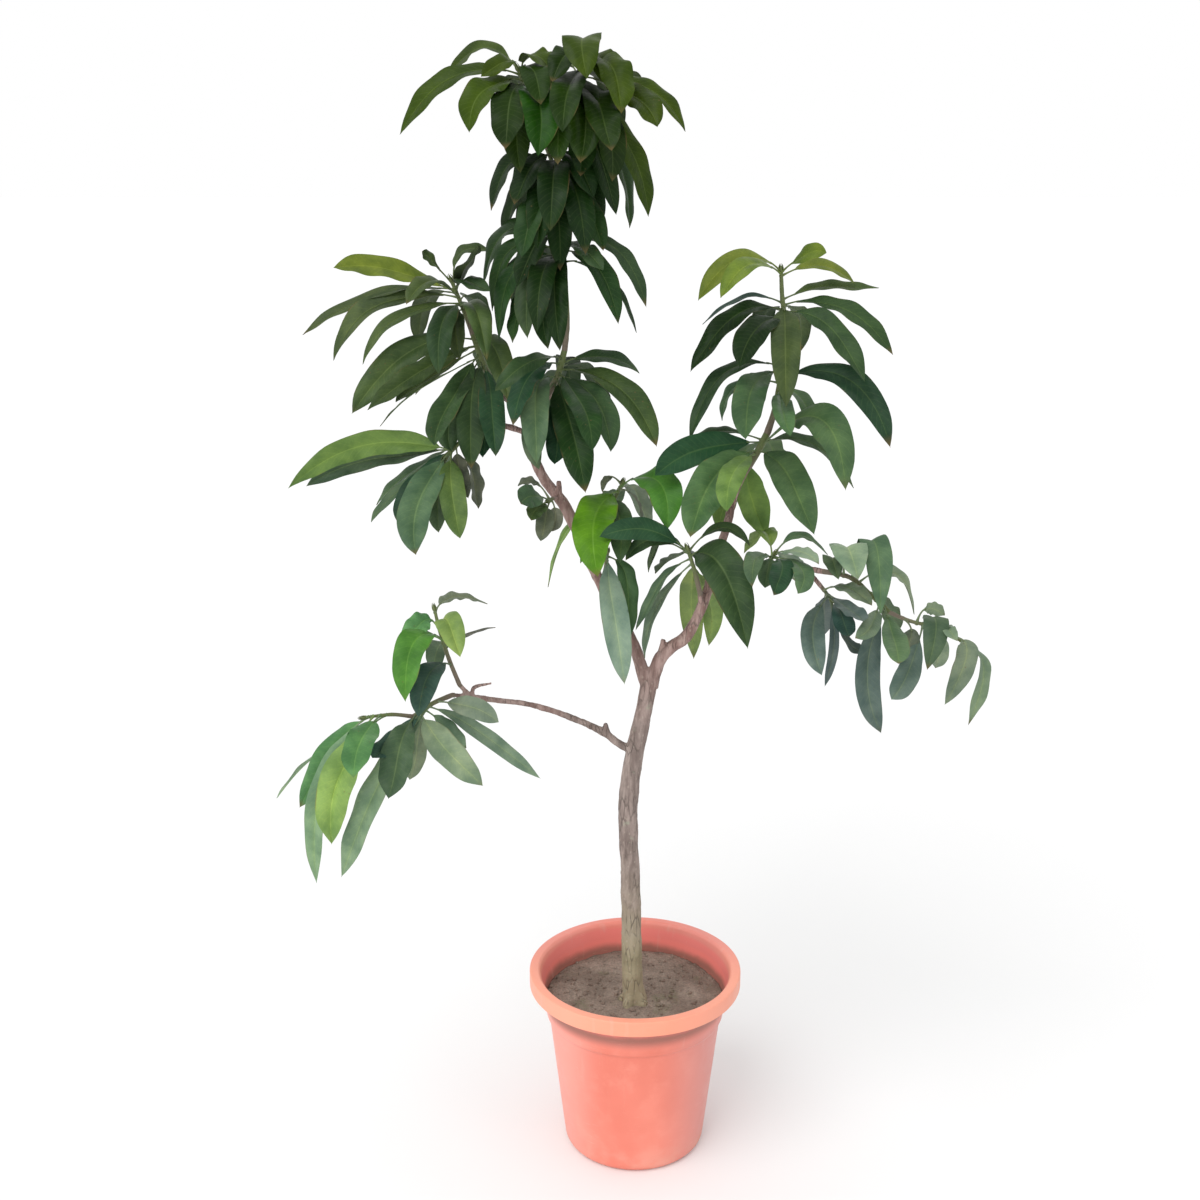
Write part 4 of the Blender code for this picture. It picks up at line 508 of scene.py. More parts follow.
def tube_rings(path, radii, sides, first_way=None, bumps=0.0, seed=0.0):
    """Round rings square to the path, with a slightly uneven radius."""
    rings = []
    across = None
    for i, point in enumerate(path):
        way = (path[min(i + 1, len(path) - 1)] - path[max(i - 1, 0)]).normalized()
        if i == 0 and first_way is not None:
            way = first_way
        if across is None:
            across = way.orthogonal().normalized()
        across = (across - way * across.dot(way)).normalized()
        up = way.cross(across)
        ring = []
        for k in range(sides):
            a = 2 * math.pi * k / sides
            out = across * math.cos(a) + up * math.sin(a)
            radius = radii[i]
            if bumps:
                radius *= 1 + bumps * rough(point + out * radius, 60, seed)
            ring.append(point + radius * out)
        rings.append(ring)
    return rings


def eased(values, count):
    """The values spread over `count` places, straight between the given ones."""
    places = np.linspace(0, len(values) - 1, count)
    return [float(v) for v in np.interp(places, range(len(values)), values)]


# Materials


class Look:
    """A material, and short ways to add nodes to it."""

    def __init__(self, name, **sockets):
        self.made = bpy.data.materials.new(name)
        self.made.use_nodes = True
        self.tree = self.made.node_tree
        self.shader = self.tree.nodes["Principled BSDF"]
        for socket, value in sockets.items():
            self.shader.inputs[socket.replace("_", " ")].default_value = value
        self.place = self.node("ShaderNodeTexCoord").outputs["Object"]

    def node(self, kind, **settings):
        made = self.tree.nodes.new(kind)
        for key, value in settings.items():
            setattr(made, key, value)
        return made

    def put(self, socket, value):
        if isinstance(value, bpy.types.NodeSocket):
            self.tree.links.new(value, socket)
        elif isinstance(value, tuple) and len(value) == 3 and socket.type == "RGBA":
            socket.default_value = (*value, 1)
        else:
            socket.default_value = value

    def math(self, operation, *values):
        made = self.node("ShaderNodeMath", operation=operation)
        for socket, value in zip(made.inputs, values):
            self.put(socket, value)
        return made.outputs[0]

    def mix(self, share, first, second, blend="MIX"):
        made = self.node("ShaderNodeMix", data_type="RGBA", blend_type=blend)
        self.put(made.inputs[0], share)
        self.put(made.inputs[6], first)
        self.put(made.inputs[7], second)
        return made.outputs[2]

    def step(self, value, low, high, to_low=0.0, to_high=1.0):
        made = self.node("ShaderNodeMapRange", interpolation_type="SMOOTHSTEP")
        for socket, given in zip(made.inputs, (value, low, high, to_low, to_high)):
            self.put(socket, given)
        return made.outputs[0]

    def scaled(self, vector, factors):
        made = self.node("ShaderNodeVectorMath", operation="MULTIPLY")
        self.put(made.inputs[0], vector)
        made.inputs[1].default_value = factors
        return made.outputs[0]

    def noise(self, scale, detail=3, roughness=0.55, vector=None, distortion=0.0):
        made = self.node("ShaderNodeTexNoise")
        self.put(made.inputs["Vector"], vector or self.place)
        made.inputs["Scale"].default_value = scale
        made.inputs["Detail"].default_value = detail
        made.inputs["Roughness"].default_value = roughness
        made.inputs["Distortion"].default_value = distortion
        return made.outputs["Fac"]

    def cells(self, scale, feature="F1", vector=None):
        made = self.node("ShaderNodeTexVoronoi", feature=feature)
        self.put(made.inputs["Vector"], vector or self.place)
        made.inputs["Scale"].default_value = scale
        return made.outputs["Distance"]

    def given(self, name, output="Vector"):
        return self.node("ShaderNodeAttribute", attribute_name=name).outputs[output]

    def parts(self, vector):
        made = self.node("ShaderNodeSeparateXYZ")
        self.put(made.inputs[0], vector)
        return made.outputs

    def bump(self, height, distance, strength=1.0, under=None):
        made = self.node("ShaderNodeBump")
        made.inputs["Strength"].default_value = strength
        made.inputs["Distance"].default_value = distance
        self.put(made.inputs["Height"], height)
        if under is not None:
            self.put(made.inputs["Normal"], under)
        return made.outputs[0]

    def wear(self, colour=None, roughness=None, normal=None):
        for socket, value in (("Base Color", colour), ("Roughness", roughness), ("Normal", normal)):
            if value is not None:
                self.put(self.shader.inputs[socket], value)
        return self.made


def leaf_look():
    """Waxy leaf: a tone for each leaf, partly its own colour and partly painted light and shade, pale midrib and side
    veins, mottling, a paler matt underside and worn tips.
    """
    look = Look("leaf", Specular_IOR_Level=0.13)
    along, across, side = look.parts(look.given("blade"))[:3]
    tone = look.given("tone")
    seed = look.given("seed", "Fac")
    off = look.math("ABSOLUTE", across)
    shifted = look.node("ShaderNodeVectorMath", operation="ADD")
    look.put(shifted.inputs[0], look.place)
    look.put(shifted.inputs[1], seed)
    spot = shifted.outputs[0]
    broad = look.noise(28, 3, vector=spot)
    fine = look.noise(420, 4, vector=spot)
    wobble = look.math("MULTIPLY", look.math("SUBTRACT", broad, 0.5), 1.2)
    phase = look.math("SUBTRACT", look.math("MULTIPLY", along, float(VEINS)), look.math("MULTIPLY", off, 1.9))
    phase = look.math("FRACT", look.math("ADD", phase, wobble))
    from_vein = look.math("ABSOLUTE", look.math("SUBTRACT", phase, 0.5))
    vein = look.step(from_vein, 0.0, 0.11, 1.0, 0.0)
    vein = look.math("MULTIPLY", vein, look.step(off, 0.75, 1.0, 1.0, 0.0))
    rib_width = look.math("ADD", look.math("MULTIPLY", along, -0.03), 0.085)
    rib = look.step(off, look.math("MULTIPLY", rib_width, 0.35), rib_width, 1.0, 0.0)
    lines = look.math("MAXIMUM", look.math("MULTIPLY", rib, 0.8), look.math("MULTIPLY", vein, 0.35))
    colour = look.mix(look.step(broad, 0.30, 0.70), look.mix(1.0, tone, (0.66, 0.72, 0.70), "MULTIPLY"),
                      look.mix(1.0, tone, (1.22, 1.16, 1.10), "MULTIPLY"))
    colour = look.mix(look.math("MULTIPLY", look.step(fine, 0.45, 0.7), 0.30), colour,
                      look.mix(1.0, colour, (1.4, 1.3, 1.1), "MULTIPLY"))
    near_rib = look.math("MULTIPLY", look.step(off, 0.0, 0.45, 1.0, 0.0), 0.25)
    colour = look.mix(near_rib, colour, look.mix(1.0, colour, (1.4, 1.35, 1.0), "MULTIPLY"))
    pale_line = look.mix(0.30, look.mix(1.0, colour, (2.0, 1.8, 1.5), "MULTIPLY"), (0.20, 0.26, 0.10))
    colour = look.mix(look.math("MULTIPLY", lines, 0.45), colour, pale_line)
    under = look.mix(0.30, look.mix(1.0, colour, (1.35, 1.30, 1.35), "MULTIPLY"), (0.075, 0.095, 0.060))
    colour = look.mix(side, under, colour)
    margin = look.math("MULTIPLY", look.step(off, 0.90, 1.0), look.step(broad, 0.5, 0.7))
    worn = look.math("MAXIMUM", look.math("MULTIPLY", look.step(along, 0.93, 1.0), look.step(seed, 0.45, 0.9)), margin)
    specks = look.math("MULTIPLY", look.step(look.cells(95, vector=spot), 0.05, 0.13, 1.0, 0.0),
                       look.step(look.noise(9, 2, vector=spot), 0.50, 0.60))
    worn = look.math("MAXIMUM", worn, look.math("MULTIPLY", specks, 0.7))
    colour = look.mix(look.math("MULTIPLY", worn, 0.65), colour, (0.13, 0.085, 0.035))
    gloss = look.step(look.noise(60, 3, vector=spot), 0.3, 0.75, 0.36, 0.52)
    gloss = look.math("ADD", gloss, look.math("MULTIPLY", look.math("SUBTRACT", 1.0, side), 0.16))
    gloss = look.math("ADD", gloss, look.math("MULTIPLY", worn, 0.2))
    height = look.math("SUBTRACT", look.math("MULTIPLY", fine, 0.18), look.math("MULTIPLY", lines, 0.8))
    return look.wear(colour, gloss, look.bump(height, 0.0005, 0.7))


def stem_look():
    """Green young stems that turn grey-brown lower down, with rings of leaf scars."""
    look = Look("stem")
    along, around, kind = look.parts(look.given("blade"))[:3]
    fine = look.noise(260, 4)
    broad = look.noise(45, 3)
    green = look.mix(broad, (0.075, 0.105, 0.030), (0.120, 0.150, 0.045))
    woody = look.mix(broad, (0.120, 0.092, 0.062), (0.190, 0.150, 0.110))
    colour = look.mix(look.step(look.math("ADD", along, look.math("MULTIPLY", broad, 0.4)), 0.35, 0.9), woody, green)
    scars = look.step(look.cells(150), 0.0, 0.28, 1.0, 0.0)
    colour = look.mix(look.math("MULTIPLY", scars, 0.5), colour, (0.055, 0.045, 0.03))
    colour = look.mix(kind, colour, look.mix(0.5, look.given("tone"), (0.13, 0.17, 0.05)))
    height = look.math("ADD", look.math("MULTIPLY", fine, 0.6), look.math("MULTIPLY", scars, -0.5))
    return look.wear(colour, look.step(fine, 0.3, 0.7, 0.5, 0.72), look.bump(height, 0.0006, 0.8))


def bark_look():
    """Young bark: olive and mossy at the foot, grey-brown above and reddish in the limbs."""
    look = Look("bark")
    height_up = look.parts(look.place)[2]
    broad = look.noise(14, 4)
    streaks = look.noise(1, 5, 0.62, look.scaled(look.place, (95, 95, 22)))
    fine = look.noise(380, 4, 0.6)
    foot = look.mix(look.step(broad, 0.35, 0.65), (0.225, 0.202, 0.122), (0.345, 0.308, 0.200))
    middle = look.mix(look.step(streaks, 0.35, 0.68), (0.165, 0.124, 0.108), (0.315, 0.250, 0.222))
    limbs = look.mix(look.step(streaks, 0.35, 0.65), (0.195, 0.112, 0.094), (0.370, 0.250, 0.222))
    level = look.math("ADD", height_up, look.math("MULTIPLY", look.math("SUBTRACT", broad, 0.5), 0.22))
    colour = look.mix(look.step(level, 0.28, 0.48), foot, middle)
    colour = look.mix(look.step(level, 0.60, 0.78), colour, limbs)
    dots = look.step(look.cells(170, vector=look.scaled(look.place, (1, 1, 0.55))), 0.10, 0.24, 1.0, 0.0)
    colour = look.mix(look.math("MULTIPLY", dots, 0.35), colour, (0.42, 0.36, 0.30))
    cracks = look.step(look.cells(1, "DISTANCE_TO_EDGE", look.scaled(look.place, (150, 150, 34))), 0.0, 0.09, 1.0, 0.0)
    cracks = look.math("MULTIPLY", cracks, look.step(look.noise(30, 3), 0.40, 0.62))
    colour = look.mix(look.math("MULTIPLY", cracks, 0.55), colour, (0.060, 0.046, 0.034))
    lichen = look.math("MULTIPLY", look.step(look.noise(38, 4, 0.6), 0.62, 0.70), look.step(fine, 0.35, 0.6))
    colour = look.mix(look.math("MULTIPLY", lichen, 0.5), colour, (0.30, 0.33, 0.24))
    height = look.math("ADD", look.math("MULTIPLY", streaks, 0.9), look.math("MULTIPLY", fine, 0.35))
    height = look.math("SUBTRACT", height, look.math("MULTIPLY", cracks, 0.7))
    return look.wear(colour, look.step(fine, 0.3, 0.75, 0.68, 0.9), look.bump(height, 0.0016, 0.9))


def pot_look():
    """Moulded plastic with paler cloudy patches, dust low down, soil marks inside, scuffs and faint turning rings, and
    painted light: a paler left side towards the light, a duller pinker right side as painted shade, a lit peach rim at
    the front and a lighter band that cancels the shadow under the rim.
    """
    look = Look("pot_plastic", Specular_IOR_Level=0.35)
    x, y, z = look.parts(look.place)[:3]
    broad = look.noise(7, 3)
    cloudy = look.noise(26, 4, 0.6)
    fine = look.noise(520, 4, 0.6)
    colour = look.mix(look.step(broad, 0.3, 0.7), (0.700, 0.185, 0.130), (0.800, 0.240, 0.175))
    colour = look.mix(look.math("MULTIPLY", look.step(cloudy, 0.45, 0.75), 0.30), colour, (0.86, 0.34, 0.26))
    # Painted light: the left side, which faces the sun, is made paler and pinker. Painted shade: the right side, away
    # from it, is made duller and pinker.
    colour = look.mix(look.step(x, -0.10, -0.04, 0.55, 0.0), colour, (0.88, 0.40, 0.34))
    colour = look.mix(look.step(x, 0.02, 0.11, 0.0, 0.75), colour, (0.62, 0.270, 0.245))
    out = look.math("SQRT", look.math("ADD", look.math("MULTIPLY", x, x), look.math("MULTIPLY", y, y)))
    # Painted light on the rim: its top and outer band get a lit peach colour at the front, towards the lamps, and a
    # pinker red behind.
    rim = look.math("MULTIPLY", look.step(z, 0.244, 0.250), look.step(out, 0.130, 0.136))
    rim_painted_light = look.mix(look.step(y, -0.06, 0.10), (0.93, 0.375, 0.235), (0.78, 0.255, 0.205))
    colour = look.mix(look.math("MULTIPLY", rim, 0.65), colour, rim_painted_light)
    # Painted light under the rim: the band just below it is made lighter and redder to cancel the shadow that the rim
    # casts there.
    under_rim_painted_light = look.math("MULTIPLY", look.step(z, 0.206, 0.232), look.step(z, 0.244, 0.250, 1.0, 0.0))
    colour = look.mix(look.math("MULTIPLY", under_rim_painted_light, 0.6), colour, (0.98, 0.310, 0.215))
    inside = look.math("MULTIPLY", look.step(out, 0.1325, 0.1345, 1.0, 0.0), look.step(z, 0.21, 0.23))
    colour = look.mix(look.math("MULTIPLY", inside, 0.75), colour, (0.80, 0.195, 0.175))
    soil_line = look.math("MULTIPLY", inside, look.step(look.math("ADD", z, look.math("MULTIPLY", cloudy, 0.012)),
                                                        0.236, 0.249, 1.0, 0.0))
    colour = look.mix(look.math("MULTIPLY", soil_line, 0.7), colour, (0.15, 0.105, 0.075))
    dust = look.math("MULTIPLY", look.step(z, 0.0, 0.055, 1.0, 0.0), look.step(cloudy, 0.38, 0.62))
    colour = look.mix(look.math("MULTIPLY", dust, 0.35), colour, (0.70, 0.42, 0.34))
    drips = look.noise(1, 4, 0.6, look.scaled(look.place, (75, 75, 5)))
    marks = look.math("MULTIPLY", look.step(drips, 0.58, 0.70), look.step(z, 0.05, 0.24))
    colour = look.mix(look.math("MULTIPLY", marks, 0.16), colour, (0.66, 0.46, 0.38))
    scuffs = look.noise(1, 3, 0.7, look.scaled(look.place, (40, 40, 900)), 0.4)
    scuffs = look.math("MULTIPLY", look.step(scuffs, 0.60, 0.72), look.step(look.noise(18, 2), 0.5, 0.66))
    colour = look.mix(look.math("MULTIPLY", scuffs, 0.4), colour, (0.95, 0.50, 0.40))
    gloss = look.math("ADD", look.step(cloudy, 0.3, 0.7, 0.36, 0.50), look.math("MULTIPLY", dust, 0.25))
    gloss = look.math("ADD", gloss, look.math("MULTIPLY", scuffs, 0.15))
    height = look.math("ADD", look.math("MULTIPLY", fine, 0.25), look.math("MULTIPLY", cloudy, 0.5))
    rings = look.math("SINE", look.math("MULTIPLY", z, 2100.0))
    height = look.math("ADD", height, look.math("MULTIPLY", rings, 0.05))
    height = look.math("SUBTRACT", height, look.math("MULTIPLY", scuffs, 0.3))
    return look.wear(colour, gloss, look.bump(height, 0.0005, 0.55))


def soil_look():
    """Dry grey-brown potting soil with darker damp patches, pale grit and a little moss."""
    look = Look("soil")
    broad = look.noise(16, 4, 0.6)
    fine = look.noise(330, 5, 0.65)
    colour = look.mix(look.step(broad, 0.36, 0.66), (0.215, 0.156, 0.120), (0.370, 0.285, 0.228))
    colour = look.mix(look.step(fine, 0.35, 0.7), look.mix(0.50, colour, (0.080, 0.062, 0.048)), colour)
    grit = look.step(look.cells(520), 0.0, 0.20, 1.0, 0.0)
    colour = look.mix(look.math("MULTIPLY", grit, 0.4), colour, (0.42, 0.37, 0.31))
    moss = look.math("MULTIPLY", look.step(look.noise(24, 3), 0.56, 0.68), look.step(fine, 0.4, 0.6))
    colour = look.mix(look.math("MULTIPLY", moss, 0.45), colour, (0.105, 0.125, 0.045))
    height = look.math("ADD", fine, look.math("MULTIPLY", look.cells(260), -0.6))
    return look.wear(colour, look.step(fine, 0.3, 0.7, 0.82, 0.97), look.bump(height, 0.0022, 0.9))


LOOKS = {}


# Leafy shoots


FINE_SHARES = np.linspace(0, 1, 241)
RING_SHARES = np.linspace(0, 1, BLADE_RINGS)


def smooth_outline():
    """The blade's width along it, rounded between the given points of the outline."""
    widths = np.interp(FINE_SHARES, *zip(*OUTLINE))
    kernel = np.hanning(23)
    padded = np.concatenate([np.linspace(-0.2, widths[0], 11), widths, np.linspace(widths[-1], -0.4, 11)])
    return np.maximum(np.convolve(padded, kernel / kernel.sum(), mode="valid"), 0.02)


SMOOTH_WIDTHS = smooth_outline()
COLUMN_PLACES = [math.copysign(abs(t) ** 1.4, t) for t in np.linspace(-1, 1, COLUMNS + 1)]


def leaf_frame(start, bend, tip, side_way, turn, share):
    """The point, direction, face and side of a leaf's middle line at a share of it."""
    point = start * (1 - share) ** 2 + bend * (2 * share * (1 - share)) + tip * share ** 2
    way = ((bend - start) * (1 - share) + (tip - bend) * share).normalized()
    natural = way.cross(side_way).normalized()
    turn *= TURN_AT_STEM + (1 - TURN_AT_STEM) * min(1.0, 1.6 * share)
    face = natural * (1 - turn) + TO_VIEWER * turn
    face = (face - way * face.dot(way)).normalized()
    return point, way, face, face.cross(way)


def add_leaf(piece, start, middle, tip, width, turn, tone, rng):
    """A stalk and a folded, wavy, pointed blade with a rib under it."""
    seed = float(rng.random())
    heading = tip - start
    heading.z = 0
    if heading.length < 0.01:
        heading = TO_VIEWER
    side_way = UP.cross(heading.normalized())
    bend = 2 * middle - (start + tip) / 2
    length = (middle - start).length + (tip - middle).length
    stalk = PETIOLE / length
    stalk_path = [leaf_frame(start, bend, tip, side_way, turn, stalk * s)[0] for s in np.linspace(-0.1, 1.25, 9)]
    stalk_radii = [0.0023, 0.0021, 0.0016, 0.0013, 0.00115, 0.0011, 0.0011, 0.00115, 0.0010]
    rings = tube_rings(stalk_path, stalk_radii, 7)
    corners, faces = skin(rings)
    piece.add(corners, faces, 1, [(0.5, 0, 1)] * len(corners), tone, seed)
    wave = width * rng.uniform(0.03, 0.085)
    counts = rng.uniform(1.8, 3.8, 2)
    phases = rng.uniform(0, 2 * math.pi, 2)
    sickle = width * rng.uniform(-0.24, 0.24)
    ripple = length * rng.uniform(-0.018, 0.018)
    arch = width * rng.uniform(0.02, 0.08)
    twist = rng.uniform(-0.5, 0.5)
    fold = LEAF_FOLD * rng.uniform(0.5, 1.6)
    fullness = rng.uniform(0.82, 1.15)
    uneven = rng.uniform(-0.07, 0.07)
    rings = []
    blade = []
    for share in RING_SHARES:
        breadth = float(np.interp(share ** fullness, FINE_SHARES, SMOOTH_WIDTHS))
        t = stalk + (1 - stalk) * share
        point, way, face, side = leaf_frame(start, bend, tip, side_way, turn, t)
        roll = Quaternion(way, twist * (share - 0.4))
        face = roll @ face
        side = roll @ side
        middle_lift = sickle * math.sin(math.pi * share) * share
        point = point + side * middle_lift + face * (ripple * math.sin(2 * math.pi * share))
        half = breadth * width / 2
        sunk = fold * breadth * width
        calm = min(1.0, share * 5, (1 - share) * 6)
        top = []
        bottom = []
        for v in COLUMN_PLACES:
            off = abs(v)
            which = 0 if v < 0 else 1
            lift = sunk * (off - 1) + arch * breadth * off * (1 - off) * 4
            lift += wave * calm * off ** 2 * math.sin(2 * math.pi * counts[which] * share + phases[which])
            place = point + side * (v * half * (1 + uneven * which)) + face * lift
            rib = math.exp(-(v * half / 0.0011) ** 2)
            depth = BLADE_THICKNESS * (1 - off ** 4) + RIB_HEIGHT * rib * (1 - 0.7 * share)
            top.append(place + face * (0.00025 * rib))
            bottom.append(place - face * depth)
            blade.append((share, v, 1))
        inner = list(reversed(bottom))[1:-1]
        rings.append(top + inner)
        blade += [(share, v, 0) for v in reversed(COLUMN_PLACES[1:-1])]
    corners, faces = skin(rings, tip + (rings[-1][COLUMNS // 2] - rings[-2][COLUMNS // 2]) * 0.3)
    piece.add(corners, [tuple(reversed(f)) for f in faces], 0, blade + [(1, 0, 1)], tone, seed)


def shoot_paths():
    """The coarse and fine path, the radii and the direction at the start of each shoot's stem."""
    coarse = {name: smooth_path([behind(x, z, y) for x, z, y, radius in points], 2) for name, points in WOOD.items()}
    for name, (carrier, points) in SIDE_STEMS.items():
        coarse[name] = [behind(x, z, y) for x, z, y, radius in points]
    ends = {name: points[-1][3] * MM for name, points in WOOD.items()}
    ends.update({name: points[-1][3] * MM for name, (carrier, points) in SIDE_STEMS.items()})
    shoots = {}
    for name, (parent, points, thin, leaves) in SHOOTS.items():
        before = coarse[parent]
        way = (before[-1] - before[-2]).normalized()
        given = [before[-1]] + [behind(*point) for point in points]
        coarse[name] = smooth_path(given, 2)
        shoots[name] = (coarse[name], smooth_path(given, 6), (ends[parent], thin * MM), way)
        ends[name] = thin * MM
    return shoots


def add_bud(piece, spot, way, radius, rng):
    """A pointed bud wrapped in narrow scales."""
    across = way.orthogonal().normalized()
    rings = tube_rings([spot + way * (0.009 * s) for s in (-0.2, 0.15, 0.4, 0.65, 0.85)],
                       [radius * w for w in (0.9, 1.15, 1.0, 0.65, 0.3)], 8)
    corners, faces = skin(rings, spot + way * 0.010)
    piece.add(corners, faces, 1, [(0.9, 0, 0)] * len(corners), (0.1, 0.15, 0.04), 0.3)
    for k in range(5):
        turn = 2 * math.pi * (k / 5 + rng.uniform(-0.04, 0.04))
        out = across * math.cos(turn) + way.cross(across) * math.sin(turn)
        side = way.cross(out)
        scale = []
        for s, w, gap in ((0.0, 1.0, 0.95), (0.3, 1.1, 1.35), (0.6, 0.8, 1.3), (0.85, 0.35, 1.0)):
            middle = spot + way * (0.010 * s) + out * (radius * gap)
            scale.append([middle + side * (radius * 0.7 * w), middle + out * (radius * 0.25),
                          middle - side * (radius * 0.7 * w), middle - out * (radius * 0.15)])
        corners, faces = skin(scale, spot + way * 0.0115 + out * (radius * 0.5))
        piece.add(corners, faces, 1, [(0.75, 0, 0)] * len(corners), (0.1, 0.15, 0.04), 0.5)


def add_stem(piece, path, ends, first_way, seed):
    """A stem with swollen leaf scars, woodier near its start."""
    radii = []
    for i, radius in enumerate(eased(list(ends), len(path))):
        share = i / (len(path) - 1)
        radii.append(radius * (1 + 0.10 * math.sin(2 * math.pi * (5 * share + seed)) ** 8))
    start = [path[0] - first_way * 0.003]
    rings = tube_rings(start + path, [radii[0]] + radii, 14, first_way, 0.07, seed)
    corners, faces = skin(rings)
    count = len(path) + 1
    blade = [(i / (count - 1), k / 14, 0) for i in range(count) for k in range(14)]
    piece.add(corners, faces, 1, blade, (0.1, 0.15, 0.04), seed)


def make_shoots():
    parents = {shoot[0] for shoot in SHOOTS.values()}
    for order, (name, (coarse, fine, ends, way)) in enumerate(shoot_paths().items()):
        rng = np.random.default_rng(400 + order)
        piece = Piece()
        add_stem(piece, fine, ends, way, order * 0.37 % 1)
        if name not in parents:
            add_bud(piece, fine[-1], (fine[-1] - fine[-2]).normalized(), ends[1], rng)
        for side_name, (carrier, points) in SIDE_STEMS.items():
            if carrier == name:
                path = smooth_path([behind(x, z, y) for x, z, y, radius in points], 6)
                add_stem(piece, path, (points[0][3] * MM, points[-1][3] * MM),
                         (path[1] - path[0]).normalized(), 0.2)
        leaves = SHOOTS[name][3]
        tones = LEAF_TONES[name].ljust(len(leaves), "k")
        for (share, mid_x, mid_z, tip_x, tip_z, tip_y, width, turn), letter in zip(leaves, tones):
            spot = share * (len(coarse) - 1)
            low = min(int(spot), len(coarse) - 2)
            start = coarse[low].lerp(coarse[low + 1], spot - low)
            start_y = depth_of(start)
            middle = behind(mid_x, mid_z, start_y + (tip_y - start_y) * MID_DEPTH)
            shade = rng.uniform(0.85, 1.2)
            tone = tuple(float(c * shade * rng.uniform(0.94, 1.06)) for c in TONE[letter])
            add_leaf(piece, start, middle, behind(tip_x, tip_z, tip_y), width * CM, turn, tone, rng)
        made = piece.build(name + "_leaves", (LOOKS["leaf"], LOOKS["stem"]))
        made.data.set_sharp_from_angle(angle=EDGE_ANGLE)
        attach(made, "root")
        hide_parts(name)


# Woody frame

BARK_VOXEL = 0.0014
ROOT_BULGES = ((-0.010, -0.040, 0.232, 0.0085), (0.009, -0.036, 0.231, 0.0090), (-0.016, -0.022, 0.231, 0.0075),
               (0.006, -0.014, 0.232, 0.0080))


def remeshed(thing, voxel):
    """The object with its skins melted into one."""
    change = thing.modifiers.new("melt", "REMESH")
    change.mode = "VOXEL"
    change.voxel_size = voxel
    change.use_smooth_shade = True
    mesh = bpy.data.meshes.new_from_object(thing.evaluated_get(bpy.context.evaluated_depsgraph_get()))
    thing.modifiers.clear()
    old = thing.data
    thing.data = mesh
    bpy.data.meshes.remove(old)
    mesh.name = thing.name
    return mesh


def relaxed(mesh, turns, share):
    """Evens the surface out a little, keeping its corners near where they were."""
    count = len(mesh.vertices)
    places = np.zeros(count * 3)
    mesh.vertices.foreach_get("co", places)
    places = places.reshape(-1, 3)
    pairs = np.zeros(len(mesh.edges) * 2, np.int64)
    mesh.edges.foreach_get("vertices", pairs)
    pairs = pairs.reshape(-1, 2)
    degree = np.bincount(pairs.ravel(), minlength=count)[:, None]
    for turn in range(turns):
        total = np.zeros_like(places)
        np.add.at(total, pairs[:, 0], places[pairs[:, 1]])
        np.add.at(total, pairs[:, 1], places[pairs[:, 0]])
        step = share if turn % 2 == 0 else -share * 1.04
        places += (total / degree - places) * step
    mesh.vertices.foreach_set("co", places.ravel())
    mesh.update()
    return places


def bark_lift(place):
    """How far the bark stands out of or lies under the smooth surface."""
    p = Vector(place)
    stretched = Vector((p.x, p.y, p.z * 0.28))
    ridges = noise.fractal(stretched * 190, 1.0, 2.0, 3)
    scars = max(0.0, rough((p.x * 0.25, p.y * 0.25, p.z), 130, 2.0) - 0.25)
    return 0.00042 * ridges + 0.0011 * scars + 0.0009 * rough(p, 42, 5.0)


def make_wood():
    piece = Piece()
    for order, (name, points) in enumerate(WOOD.items()):
        path = smooth_path([behind(x, z, y) for x, z, y, radius in points], 8)
        radii = eased([point[3] * MM for point in points], len(path))
        sides = 28 if name == "trunk" else 18
        corners, faces = skin(tube_rings(path, radii, sides, None, 0.05, order * 0.7))
        piece.add(corners, faces)
    for x, y, z, radius in ROOT_BULGES:
        middle = Vector((x, y, z))
        foot = Vector((x * 1.7, -0.027 + (y + 0.027) * 1.9, z - 0.012))
        path = [middle + UP * 0.022 + (Vector((-0.003, -0.027, 0)) - Vector((x, y, 0))) * 0.7, middle, foot]
        corners, faces = skin(tube_rings(smooth_path(path, 5), eased([radius * 0.55, radius, radius * 0.6], 11), 14))
        piece.add(corners, faces)
    wood = piece.build("trunk_and_limbs_bark", (LOOKS["bark"],))
    mesh = remeshed(wood, BARK_VOXEL)
    places = relaxed(mesh, 4, 0.5)
    normals = np.zeros(len(places) * 3)
    mesh.vertices.foreach_get("normal", normals)
    lifts = np.array([bark_lift(place) for place in places])
    mesh.vertices.foreach_set("co", (places + normals.reshape(-1, 3) * lifts[:, None]).ravel())
    mesh.update()
    mesh.shade_smooth()
    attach(wood, "root")
    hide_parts("trunk_and_limbs")


# Pot and soil

POT_STEPS = 160
POT_PROFILE = (  # radius, height and rounding in mm, from the floor's middle up the inside and down the outside
    (0.0, 7.0, 0), (97.2, 7.0, 3.5), (100.2, 30.0, 8), (119.2, 194.0, 2.0), (123.2, 206.0, 2.0), (130.2, 248.0, 6.0),
    (135.0, 266.5, 4.0), (138.0, 270.0, 1.6), (150.0, 270.0, 2.4), (150.0, 248.0, 1.2), (147.4, 248.0, 1.0),
    (147.4, 267.0, 1.0), (138.6, 267.0, 1.6), (133.0, 248.0, 3.0), (126.0, 203.0, 1.4), (123.4, 200.0, 0.8),
    (122.0, 197.0, 1.2), (103.0, 30.0, 8), (100.0, 6.0, 5.0), (94.0, 0.0, 2.4), (85.0, 0.0, 0.8), (83.0, 4.0, 0.8),
    (30.0, 4.0, 0.8), (28.0, 0.0, 0.6), (0.0, 0.0, 0))
DRAIN_HOLES = 8
SOIL_RINGS = 62
SOIL_STEPS = 150
SOIL_EDGE = 0.1262
CRUMBS = 620


